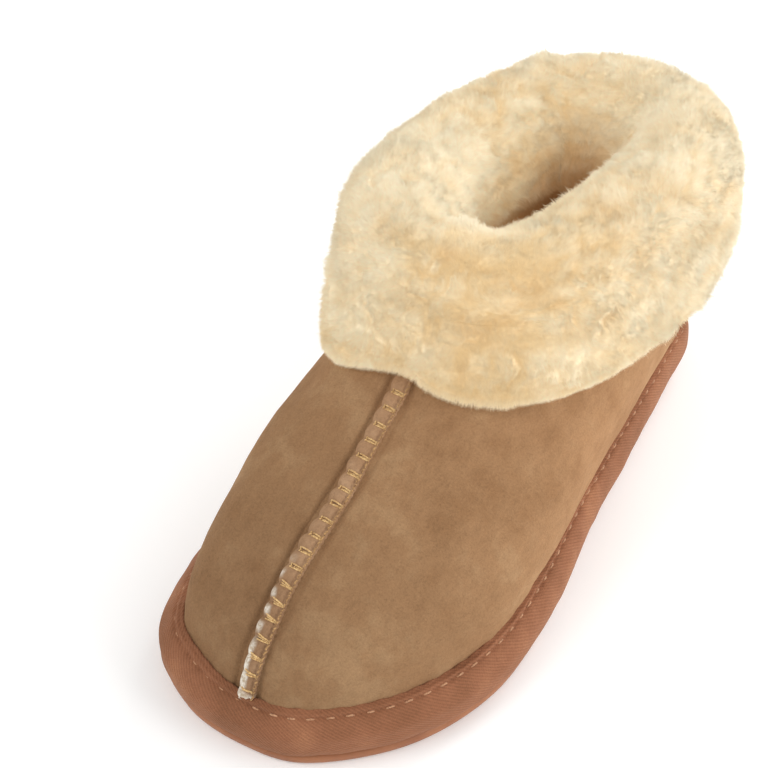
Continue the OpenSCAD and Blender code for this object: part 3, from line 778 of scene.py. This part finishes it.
def build_seam_threads(s, prefix, zig_node, row_node, toe, seed):
    r = np.random.default_rng(seed)
    lines, rows = [], []
    for b in s.bars:
        if b < 1.0 or b > s.L - 0.5:
            continue
        open_v = toe and b < 40
        n = 3
        for k in range(n):
            t = k - (n - 1) / 2
            gap0, gap1 = (0.20, 0.80 if k != 1 else 0.4) if open_v else (0.40, 0.60)
            q = np.linspace(0, 1, 9)
            a0, a1 = 0.88, (-0.52 if open_v else -0.42) + r.uniform(-0.10, 0.10)
            aa = a0 + (a1 - a0) * q
            ll = np.clip(b + t * (gap0 + (gap1 - gap0) * q) + r.uniform(-0.08, 0.08) + (0.5 * q if open_v else 0), 0.05, s.L)
            lines.append(s.on(aa, ll, 0.22 - 0.40 * (2 * abs(q - 0.5)) ** 5))
        if not open_v:      # the loops that join the rungs at their inner ends
            for t0 in (-0.31, 0.31):
                q = np.linspace(0, np.pi, 6)
                lines.append(s.on(-0.44 - 0.10 * np.sin(q), np.clip(b + t0 + 0.31 * np.cos(q), 0.05, s.L), 0.12 + 0 * q))
    step = PITCH / 3
    m = 0
    while (m + 1) * step < s.L - 0.4:
        l0 = (m + 0.5) * step
        q = np.linspace(-1, 1, 7)
        rows.append(s.on(0.87 + 0.06 * q, np.clip(l0 + q * 0.86, 0, s.L), 0.24 - 0.42 * abs(q) ** 4))
        m += 1
    V, Q, T = tubes(lines, 0.29, 6, 0.9)
    place(mesh(prefix + "_zigzag", V, Q=Q, T=T, mat=M_GOLD), "seam_thread", zig_node)
    V, Q, T = tubes(rows, 0.30, 6, 0.9)
    ob = mesh(prefix + "_row", V, Q=Q, T=T, mat=M_DARK)
    if row_node:
        place(ob, "row_thread", row_node)
    else:
        place(ob, "row_thread")


vamp = Seam(0.0, 1.0, 11)
build_strip(vamp, "vamp_seam_strip_suede", "vamp_seam_strip", True)
build_seam_threads(vamp, "vamp_thread", "vamp_zigzag_thread", "vamp_row_stitching", True, 12)
heel = Seam(9.0, -1.0, 13)
build_strip(heel, "heel_seam_strip_suede", "heel_seam_strip", False)
build_seam_threads(heel, "heel_thread", "heel_zigzag_thread", None, False, 14)


# ------------------------------------------------------------------ turned-down cuff
def fold_pt(u, r, z):
    p, n = P(u, 5 + 0 * u), N(u, 5 + 0 * u)
    q = p[..., :2] + n[..., :2] * np.asarray(r)[..., None]
    return np.concatenate([q, np.broadcast_to(np.asarray(z, float), u.shape)[..., None]], -1)


def cuff_t(u):
    return CUFF * ev(REACH, u)


def crown_t(u):
    return CUFF * ev(CROWN, u)


def throat_t(u):
    return THROAT_PILE * ev(THROAT, u)


def cuff_rows(u):
    """Control rows of the pile's outer face at each u: from the hem, over the fold, to the inside of the throat."""
    n5 = N(u, 5 + 0 * u)
    A = P(u, vh(u)) + N(u, vh(u)) * (SKIN + 0.2 * cuff_t(u))[..., None]
    A[..., 2] -= 2.4
    E = fold_pt(u, SKIN + cuff_t(u), ZT)
    over = ((E - A) * n5).sum(-1)
    push = np.maximum(4, over + 4)
    B = A + n5 * push[..., None]; B[..., 2] -= 3
    C = E + n5 * (np.maximum(0, 3 - over) * 0.5)[..., None]
    C[..., 2] -= 0.6 * (ZT - A[..., 2])
    rows = []
    for t in (0, 0.2, 0.4, 0.6, 0.8, 1.0):
        s = 1 - t
        rows.append(A * s ** 3 + B * 3 * s * s * t + C * 3 * s * t * t + E * t ** 3)
    for a in (30, 60, 90, 120, 150, 180):
        x, y = math.cos(math.radians(a)), math.sin(math.radians(a))
        t = SKIN + (cuff_t(u) if x >= 0 else throat_t(u))
        rows.append(fold_pt(u, t * x, ZT + (crown_t(u) + SKIN) * y))
    return np.array(rows)


def pile_depth(u, v):
    k = np.clip(np.floor(v).astype(int), 0, 3)
    f = np.clip(v, 0, 4) - k
    low = LINING * (PILE_IN[k] * (1 - f) + PILE_IN[np.minimum(k + 1, 4)] * f)
    return np.where(v > 4, LINING * PILE_IN[4] * (5 - v) + throat_t(u) * (v - 4), low)


HEM = 2.3
LIN_V = [4.6, 4.2, 3.8, 3.4, 3.0, 2.6, 2.2, 1.8, 1.4, 1.0, 0.6, 0.25, 0.0]
Q_END = 11.0 + len(LIN_V)
GU, GQ = 1441, 481


class Pile:
    """The pile's face as a fine grid over u (round the shoe) and q (hem 0, crest 8, throat 11, insole 24), with its fluff."""

    def __init__(self):
        u = np.linspace(0, NS, GU)
        rows = list(cuff_rows(u))
        for v in LIN_V:
            vv = v + 0 * u
            rows.append(P(u, vv) - N(u, vv) * (SKIN + pile_depth(u, vv))[..., None])
        rows = np.array(rows)
        q = np.linspace(0, Q_END, GQ)
        k = np.clip(np.floor(q).astype(int), 0, len(rows) - 2)
        w = crw(q - k)
        X = np.concatenate([[2 * rows[0] - rows[1]], rows, [2 * rows[-1] - rows[-2]]])
        self.p = sum(w[:, m, None, None] * X[k + m] for m in range(4))
        self.u, self.q = u, q
        self.n = self.normals(self.p)
        self.fluff()
        self.d = self.p + self.n * self.h[..., None]
        # the hem rolls in to the suede: from the face at q = HEM down to the cut edge of the cuff's skin
        k = int(np.searchsorted(q, HEM))
        b, nb = P(u, vh(u)), N(u, vh(u))
        along = unit(np.cross(nb, np.cross(np.array([0, 0, 1.0]), nb)))
        a1 = np.stack([arc_at(u), 0 * u, 0 * u], -1)
        drop = 1.3 + 0.55 * vnoise(a1, 7, 221) + 0.30 * vnoise(a1, 2.6, 222)
        top = self.d[k]
        e0 = b + nb * 1.95 - along * drop[:, None]
        e1 = e0 * 0.62 + top * 0.38 + nb * 1.5 - along * 1.3
        t = (q[:k] / q[k])[:, None, None]
        self.d[:k] = e0 * (1 - t) ** 2 + 2 * t * (1 - t) * e1 + top * t * t
        self.d[:k] += nb * (0.30 * vnoise(self.d[:k], 2.6, 223) * np.sin(np.pi * t[..., 0]))[..., None]
        self.p[:k] = self.d[:k]
        self.dn = self.normals(self.d)
        self.n[:k] = self.dn[:k]
        self.grad[:k] *= t

    @staticmethod
    def du(g):
        a = np.empty_like(g)
        a[:, 1:-1] = g[:, 2:] - g[:, :-2]
        a[:, 0] = a[:, -1] = g[:, 1] - g[:, -2]
        return a

    def normals(self, g):
        return unit(np.cross(self.du(g), np.gradient(g, axis=0)))

    def fluff(self):
        p, Q = self.p, self.q[:, None] + 0 * self.p[..., 0]
        # comb the noise along the way the wool falls: stretch it down the cuff
        w1 = np.stack([vnoise(p, 15, 201), vnoise(p, 15, 202), vnoise(p, 15, 203)], -1)
        w2 = np.stack([vnoise(p, 5.5, 204), vnoise(p, 5.5, 205), vnoise(p, 5.5, 206)], -1)
        pw = p + 4.5 * w1 + 1.5 * w2
        b1 = abs(vnoise(pw, 13.0, 211))
        b2 = abs(vnoise(pw * [1, 1, 0.8], 6.6, 212))
        b3 = abs(vnoise(p + 1.2 * w2, 3.2, 213))
        b4 = vnoise(p, 1.5, 214)
        sq = lambda x, s: np.sqrt(x * x + s * s) - s
        lump = 0.44 * np.clip(sq(b1, 0.07) * 2.1, 0, 1) + 0.34 * np.clip(sq(b2, 0.09) * 2.1, 0, 1) + 0.22 * np.clip(b3 * 2.0, 0, 1)
        self.lump = lump
        big = fbm(p, 30, 71, 2)
        h = -3.5 + 1.7 * lump + 0.10 * b4 + 1.4 * big
        lo = np.clip(Q / 1.3, 0, 1)
        inner = np.clip((Q_END - Q) / 2, 0, 1) * np.where(Q > 14, np.clip(1 - (Q - 14) / 6, 0.45, 1), 1)
        thin = ev(np.array([0, 0, 0, 0.4, 0.8, 1, 1, 1, 1, 1, 1, 0.8, 0.4, 0, 0, 0, 0, 0]), self.u)[None] * np.clip(1 - abs(Q - 5.5) / 5, 0, 1)
        h = h - 1.6 * thin + 5.0 * np.clip(1 - abs(Q - 13.6) / 4.4, 0, 1) ** 0.8 * (1 + 0.8 * np.exp(-((self.u - 9.2) / 1.5) ** 2))[None]
        uf = np.abs(np.mod(self.u + 9, NS) - 9 - 0.0)
        h = h + (4.5 * np.exp(-(uf / 2.1) ** 2))[None] * np.clip(1 - abs(Q - 10.0) / 3.6, 0, 1) ** 0.8
        h = h + (3.6 * np.exp(-((self.u - 13.2) / 3.0) ** 2))[None] * np.clip(1 - abs(Q - 12.2) / 3.8, 0, 1) ** 0.8
        self.h = (h * (0.35 + 0.65 * lo) ) * inner
        # tone: 0 cream crest, 1 honey; the honey of the valleys is painted shade, the zones are the wool's own patches,
        # and the front is made honeyer
        zone = np.clip(0.5 + 0.9 * fbm(p, 42, 301, 2), 0, 1)
        front = np.exp(-((p[..., 1] + 14) / 26) ** 2) * np.exp(-((p[..., 0] - 14) / 30) ** 2)
        self.tone = np.clip(0.46 - 0.60 * lump + 0.34 * zone + 0.40 * front + 0.05 * b4, 0, 1)
        gu = self.du(self.h) / np.maximum(np.linalg.norm(self.du(p), axis=-1), 1e-6)
        gq = np.gradient(self.h, axis=0) / np.maximum(np.linalg.norm(np.gradient(p, axis=0), axis=-1), 1e-6)
        self.grad = unit(self.du(p)) * gu[..., None] + unit(np.gradient(p, axis=0)) * gq[..., None]

    def at(self, u, q, *fields):
        """The fields' values at u, q, by bilinear interpolation."""
        x = np.mod(u, NS) / NS * (GU - 1); y = np.clip(q, 0, Q_END) / Q_END * (GQ - 1)
        i, j = np.minimum(y.astype(int), GQ - 2), np.minimum(x.astype(int), GU - 2)
        fy, fx = y - i, x - j
        out = []
        for f in fields:
            g = getattr(self, f)
            s = (lambda w: w[..., None]) if g.ndim == 3 else (lambda w: w)
            out.append(g[i, j] * s((1 - fy) * (1 - fx)) + g[i, j + 1] * s((1 - fy) * fx)
                       + g[i + 1, j] * s(fy * (1 - fx)) + g[i + 1, j + 1] * s(fy * fx))
        return out


PILE = Pile()


def build_cuff_skin(half, name, node):
    u = np.linspace(9 * half, 9 * half + 9, 260)
    w = np.linspace(0, 1, 16) ** 1.6
    U, W = np.meshgrid(u, w)
    low = vh(U) + 0.015 + 0.012 * vnoise(np.stack([arc_at(U), 0 * U, 0 * U], -1), 6, 51)
    v = low + (5 - low) * W
    p, n = P(U, v), N(U, v)
    tilt = 0.55 * np.exp(-W * 14)
    O = p + n * (1.75 + tilt + 0.12 * vnoise(p, 2.5, 52) * (W < 0.05))[..., None]
    I = p + n * (0.10 + tilt * 0.8)[..., None]
    O = np.concatenate([O, fold_pt(u, SKIN + 0 * u, ZT + SKIN)[None], fold_pt(u, -SKIN + 0 * u, ZT + SKIN)[None]])
    I = np.concatenate([I, fold_pt(u, -0.4 * SKIN + 0 * u, ZT)[None], fold_pt(u, -SKIN + 0 * u, ZT)[None]])
    V, Q = shell(O, I)
    place(mesh(name, V, Q=Q, mat=M_EDGE), "cuff_skin", node)


build_cuff_skin(0, "cuff_skin_medial_hide", "cuff_skin_medial")
build_cuff_skin(1, "cuff_skin_lateral_hide", "cuff_skin_lateral")

# DEEP is the painted shade colour at the fibres' roots and on the pile's hidden inner face
CREAM, HONEY, WHITE, DEEP = (np.array(srgb(*c)) for c in ((252, 243, 219), (241, 217, 175), (253, 247, 232), (222, 184, 134)))


def fleece_colour(tone, tip, q, y=-1e3):
    """Cream where the wool crests and honey in its valleys and patches, the valley honey being painted shade; painted
    shade toward the fibres' roots and down in the throat, browner at its heel end; whiter along the hem, partly the
    wool's lighter tips and partly painted light.
    """
    t = np.clip(tone, 0, 1)[..., None]
    t = t * t * (3 - 2 * t)
    c = CREAM * (1 - t) + HONEY * t
    # painted shade toward each fibre's root
    root = 0.35 * np.clip(1 - tip, 0, 1)[..., None]
    c = c * (1 - root) + DEEP * root
    # whiter along the hem: partly the wool's lighter tips, partly painted light that lifts the shade under the hem
    hem = 0.45 * np.clip(1 - q / 1.4, 0, 1)[..., None]
    c = c * (1 - hem) + WHITE * hem
    # painted shade: browner down in the throat
    throat_shade = np.clip((q - 13.0) / 5.0, 0, 1)[..., None]
    c = c * (1 - throat_shade) + np.array(srgb(204, 158, 108)) * throat_shade
    # painted shade: browner still toward the heel end of the throat
    back = (0.85 * np.clip((y - 62) / 22, 0, 1) * np.clip((q - 9.9) / 2.6, 0, 1))[..., None]
    c = c * (1 - back) + np.array(srgb(176, 132, 88)) * back
    heel = (0.9 * np.clip((y - 62) / 26, 0, 1) * np.clip((q - 12.2) / 2.6, 0, 1))[..., None]
    return c * (1 - heel) + np.array(srgb(134, 96, 62)) * heel


def build_fleece_base(half, side):
    u0 = 9 * half
    cuts = [(0.0, 5.5, f"cuff_fleece_{side}_wool", f"cuff_fleece_{side}", 150), (5.5, 11.0, f"cuff_crest_{side}_wool", f"cuff_fleece_{side}", 150),
            (11.0, Q_END, f"lining_{side}_wool", f"lining_{side}", 110)]
    nu = 325
    for q0, q1, name, node, nq in cuts:
        u = np.linspace(u0, u0 + 9, nu)
        q = np.linspace(q0, q1, nq)
        U, Qq = np.meshgrid(u, q)
        O, tone = PILE.at(np.clip(U, u0 + 1e-6, u0 + 9 - 1e-6), Qq, "d", "tone")
        # fleece_colour paints shade toward the roots and down in the throat on the base
        col = fleece_colour(tone, np.full(tone.shape, 0.55), Qq, O[..., 1])
        rows = []
        for qi in q:
            if qi <= 5:
                v = vh(u) + (5 - vh(u)) * (qi / 5)
                rows.append(P(u, v) + N(u, v) * 1.72)
            elif qi <= 11:
                x = 1 - 2 * (qi - 5) / 6
                rows.append(fold_pt(u, np.full(nu, SKIN * x), ZT + SKIN + 0.04))
            else:
                vv = np.interp(qi, np.arange(11, Q_END + 0.5), [5.0] + LIN_V)
                rows.append(P(u, vv + 0 * u) - N(u, vv + 0 * u) * (SKIN + 0.03))
        I = np.array(rows)
        V, Q = shell(O, I)
        inner = np.broadcast_to(DEEP, I.shape).reshape(-1, 3)
        lining = q0 >= 11
        ob = mesh(name, V, Q=Q, mat=M_LINING if lining else M_FLEECE, colour=np.concatenate([col.reshape(-1, 3), inner]))
        place(ob, "lining_fleece" if lining else "fleece", node)


build_fleece_base(0, "medial")
build_fleece_base(1, "lateral")


def sample_pile(n, q0, q1, u0, u1, seed):
    """n points spread evenly by area over part of the pile's face."""
    r = np.random.default_rng(seed)
    j0, j1 = int(u0 / NS * (GU - 1)), int(u1 / NS * (GU - 1)); i0, i1 = int(q0 / Q_END * (GQ - 1)), int(q1 / Q_END * (GQ - 1))
    g = PILE.p[i0:i1 + 1, j0:j1 + 1]
    du = np.linalg.norm(g[:-1, 1:] - g[:-1, :-1], axis=2); dq = np.linalg.norm(g[1:, :-1] - g[:-1, :-1], axis=2)
    w = (du * dq).ravel(); c = np.cumsum(w) / w.sum()
    k = np.minimum(np.searchsorted(c, (np.arange(n) + r.random(n)) / n), len(w) - 1)
    i, j = np.divmod(k, du.shape[1])
    return (j0 + j + r.random(n)) / (GU - 1) * NS, (i0 + i + r.random(n)) / (GQ - 1) * Q_END, w.sum()


def strands(name, u, q, slot, mat, seed, length=(1.5, 2.8), width=0.18, sink=0.7, bend=False, hem=False):
    """Closed tapered fibres of the pile, three-sided, leaning with the fluff they stand in."""
    r = np.random.default_rng(seed)
    n = len(u)
    u0 = 9.0 if u.mean() > 9 else 0.0
    u = np.clip(u, u0 + 0.004, u0 + 8.996)
    d0, dn, nn, grad, tone = PILE.at(u, q, "d", "dn", "n", "grad", "tone")
    dn = unit(dn); nn = unit(nn)
    fall = np.zeros_like(nn); fall[:, 2] = -1
    fall -= nn * (fall * nn).sum(1, keepdims=True)
    out = np.clip((6.0 - q) / 3.0, 0, 1)[:, None]
    swirl = np.stack([vnoise(d0, 11, 401), vnoise(d0, 11, 402), vnoise(d0, 11, 403)], -1)
    local = np.stack([vnoise(d0, 3.4, 404), vnoise(d0, 3.4, 405), vnoise(d0, 3.4, 406)], -1)
    tuft = np.stack([vnoise(d0, 1.9, 409), vnoise(d0, 1.9, 410), vnoise(d0, 1.9, 411)], -1)
    d = unit(nn * 0.8 + tuft * 0.30 + dn * 0.35 + grad * 0.55 + fall * (0.30 * out) + swirl * 0.55 + local * 0.50 + r.normal(0, 0.15, (n, 3)))
    L = r.uniform(*length, n) * (1 + 0.25 * vnoise(d0, 7, 407))
    if hem:
        edge = np.clip(1 - q / 1.5, 0, 1)[:, None]
        nh = N(u, vh(u))
        down = unit(np.cross(np.cross(np.array([0, 0, 1.0]), nh), nh))
        d = unit(d * (1 - 0.4 * edge) + down * edge * 0.75 + nh * edge * 0.30)
        lit = unit(nh + [0, 0, 0.35]); e2 = np.clip(1 - q / 2.3, 0, 1)[:, None] ** 0.5
        nn = unit(nn * (1 - e2) + lit * e2); dn = unit(dn * (1 - e2) + lit * e2)
    root = d0 - PILE.at(u, q, "dn")[0] * sink
    tip = root + d * (L + sink)[:, None]
    tip[:, 2] -= 0.25 * out[:, 0] * L * 0.5
    tan = unit(tip - root)
    s = unit(np.cross(tan, r.normal(0, 1, (n, 3)))); g = np.cross(tan, s)
    wd = width * r.uniform(0.7, 1.3, n)
    ring = lambda c, rad: np.stack([c + (s * math.cos(2 * math.pi * m / 3) + g * math.sin(2 * math.pi * m / 3)) * (wd * rad)[:, None] for m in range(3)], 1)
    if bend:
        mid = root * 0.5 + tip * 0.5 + (dn * 0.22 + r.normal(0, 0.10, (n, 3))) * L[:, None]
        V = np.concatenate([ring(root, 0.5), ring(mid, 0.42), tip[:, None]], 1)
        tipv = np.array([0.2] * 3 + [0.75] * 3 + [1.0]); along = np.array([0, 0, 0, 1, 1, 1, 2])
        cen = np.stack([root, mid, tip], 1)[:, along]
        f = [(3, 4, 6), (4, 5, 6), (5, 3, 6), (2, 1, 0)]
        fq = [(0, 1, 4, 3), (1, 2, 5, 4), (2, 0, 3, 5)]
        pu, pv = [0.15, 0.5, 0.85, 0.15, 0.5, 0.85, 0.5], [0.1] * 3 + [0.5] * 3 + [0.92]
    else:
        V = np.concatenate([ring(root, 0.5), tip[:, None]], 1)
        tipv = np.array([0.3] * 3 + [1.0]); along = np.array([0, 0, 0, 1])
        cen = np.stack([root, tip], 1)[:, along]
        f = [(0, 1, 3), (1, 2, 3), (2, 0, 3), (2, 1, 0)]
        fq = []
        pu, pv = [0.15, 0.5, 0.85, 0.5], [0.1] * 3 + [0.92]
    m = V.shape[1]
    base = (np.arange(n) * m)[:, None, None]
    T = (base + np.array(f)[None]).reshape(-1, 3)
    Q = (base + np.array(fq)[None]).reshape(-1, 4) if fq else None
    tone = np.clip(tone + r.normal(0, 0.06, n) + 0.08 * vnoise(d0, 2.4, 408), 0, 1.2)
    # fleece_colour paints shade toward each fibre's root, from tipv, and down in the throat
    col = fleece_colour(np.repeat(tone[:, None], m, 1), np.broadcast_to(tipv, (n, m)), np.repeat(q[:, None], m, 1), np.repeat(d0[:, 1:2], m, 1))
    col = col * (1 + r.normal(0, 0.02, (n, 1, 1)))
    nv = unit((dn * 0.7 + nn * 0.3)[:, None, :] + 0.21 * (V - cen) / (wd[:, None, None] * 0.5) + 0.12 * d[:, None])
    side = int(math.ceil(math.sqrt(n)))
    cell = 1.0 / side
    cx, cy = (np.arange(n) % side) * cell, (np.arange(n) // side) * cell
    uv = np.stack([cx[:, None] + cell * np.array(pu), cy[:, None] + cell * np.array(pv)], -1).reshape(-1, 2)
    ob = mesh(name, V.reshape(-1, 3), Q=Q, T=T, mat=mat, colour=np.clip(col.reshape(-1, 3), 0, 1), uv={"OFBake": uv}, normals=nv.reshape(-1, 3))
    return place(ob, slot)


for half, side in ((0, "medial"), (1, "lateral")):
    u0 = 9 * half
    for sd, (part, q0, q1, n) in enumerate((("hem", 0.0, 1.6, 24000), ("low", 1.6, 4.0, 46000), ("mid", 4.0, 6.4, 46000),
                                            ("crest", 6.4, 8.6, 46000), ("brow", 8.6, 11.0, 46000), ("throat", 11.0, 17.0, 40000))):
        u, q, area = sample_pile(n, q0, q1, u0, u0 + 9, seed=sd + int(u0) * 10)
        strands(f"pile_{side}_{part}", u, q, "fleece" if q0 < 11 else "lining_fleece", M_FLEECE if q0 < 11 else M_LINING,
                100 + sd + int(u0), hem=part == "hem", width=0.18)
    u, q, area = sample_pile(7000, 1.5, 10.5, u0, u0 + 9, seed=77 + half)
    strands(f"pile_{side}_wisps", u, q, "fleece", M_FLEECE, 177 + half, length=(2.2, 3.8), width=0.17, bend=True, hem=True)
    u, q, area = sample_pile(11000, 0.05, 1.1, u0, u0 + 9, seed=87 + half)
    strands(f"pile_{side}_fringe", u, q, "fleece", M_FLEECE, 187 + half, length=(1.5, 2.8), width=0.16, bend=True, hem=True)


# ------------------------------------------------------------------ insole pile
def build_insole():
    u = np.linspace(0, NS, 361)[:-1]
    p, n = P(u, 0 * u), N(u, 0 * u)
    zs = Z2 + 2.5
    ins = [(SKIN + 0.05, zs), (SKIN + 0.05, ZF - 0.02), (SKIN + 7.05, ZF - 0.02), (SKIN + 7.7, ZF + 2.6), (SKIN + 9, ZF + 4)]
    rows = []
    for k, z in ins:
        q = p - n * k
        q[:, 2] = z
        rows.append(q)
    edge = rows[-1]
    mid = np.stack([np.interp(edge[:, 1], [-110, -60, 0, 60, 110], [-3, -1, -1, -1, 2]), np.clip(edge[:, 1], -78, 78), np.full(len(u), ZF + 5.2)], -1)
    for t in np.linspace(0.08, 0.93, 26):
        q = edge * (1 - t) + mid * t
        q[:, 2] = ZF + 4 + 1.1 * math.sin(min(t, 0.5) * math.pi)
        q[:, 2] += 0.8 * fbm(q, 9, 81) + 0.35 * vnoise(q, 3, 82)
        rows.append(q)
    V = np.array(rows)
    a, b = V.shape[:2]
    tone = np.clip(0.55 + 0.6 * fbm(V, 12, 83), 0, 1)
    # q = 14 gives the insole wool part of the throat's painted shade
    col = fleece_colour(tone, np.full(tone.shape, 0.55), np.full(tone.shape, 14.0))
    ob = mesh("insole_wool", V, Q=grid_quads(a, b, wrap=True), NG=[np.arange(b)[::-1], np.arange(b) + (a - 1) * b], mat=M_LINING, colour=col.reshape(-1, 3))
    place(ob, "lining_fleece", "insole_pile")


build_insole()


# ------------------------------------------------------------------ floor, light, camera
def floor_material():
    m = Mat("studio_floor")
    f = m.noise(6, 3, 0.5)
    col = m.ramp(f, [(0.3, (0.90, 0.90, 0.90)), (0.7, (0.93, 0.93, 0.93))])
    m.link(col, m.b.inputs["Emission Color"])
    m.b.inputs["Emission Strength"].default_value = 0.14
    return m.finish(col, 0.9, spec=0.1)


me = bpy.data.meshes.new("studio_floor")
me.from_pydata([(-6, -6, -0.0002), (6, -6, -0.0002), (6, 6, -0.0002), (-6, 6, -0.0002)], [], [(0, 1, 2, 3)])
floor = bpy.data.objects.new("studio_floor", me)
bpy.context.scene.collection.objects.link(floor)
me.materials.append(floor_material())

world = bpy.data.worlds.new("studio") if bpy.context.scene.world is None else bpy.context.scene.world
bpy.context.scene.world = world
world.use_nodes = True
bg = world.node_tree.nodes.get("Background") or world.node_tree.nodes.new("ShaderNodeBackground")
bg.inputs[0].default_value = (1.0, 0.995, 0.985, 1)
bg.inputs[1].default_value = 0.64


def area(name, loc, target, size, power, colour=(1, 1, 1)):
    d = bpy.data.lights.new(name, "AREA")
    d.shape, d.size, d.energy, d.color = "DISK", size, power, colour
    o = bpy.data.objects.new(name, d)
    o.location = loc
    o.rotation_mode = "QUATERNION"
    o.rotation_quaternion = (Vector(target) - Vector(loc)).to_track_quat("-Z", "Y")
    bpy.context.scene.collection.objects.link(o)
    return o


area("front_left", (-0.55, -0.75, 1.05), (0, 0, 0.04), 0.8, 5.9, (1, 0.99, 0.975))
area("right", (1.25, 0.1, 0.5), (0, 0, 0.04), 0.8, 7.2)
area("back", (0.1, 1.2, 0.7), (0, 0, 0.04), 0.8, 9.4)
area("right_near", (0.38, 0.25, 0.6), (0, 0, 0.04), 0.45, 0.6)

AZ, EL, DIST, TARGET = 32.9, 43.8, 0.673, Vector((-0.0508, 0.0317, 0.0))
a_, e_ = math.radians(AZ), math.radians(EL)
back = Vector((math.sin(a_) * math.cos(e_), -math.cos(a_) * math.cos(e_), math.sin(e_)))
cam = bpy.data.cameras.new("camera")
cam.lens, cam.sensor_width = 87.48, 36
cam.clip_start, cam.clip_end = 0.01, 50
co = bpy.data.objects.new("camera", cam)
co.rotation_mode = "QUATERNION"
co.location = TARGET + back * DIST
co.rotation_quaternion = (-back).to_track_quat("-Z", "Y")
bpy.context.scene.collection.objects.link(co)
bpy.context.scene.camera = co
bpy.context.scene.view_settings.view_transform = "Standard"
bpy.context.scene.view_settings.look = "None"

bpy.context.view_layer.update()
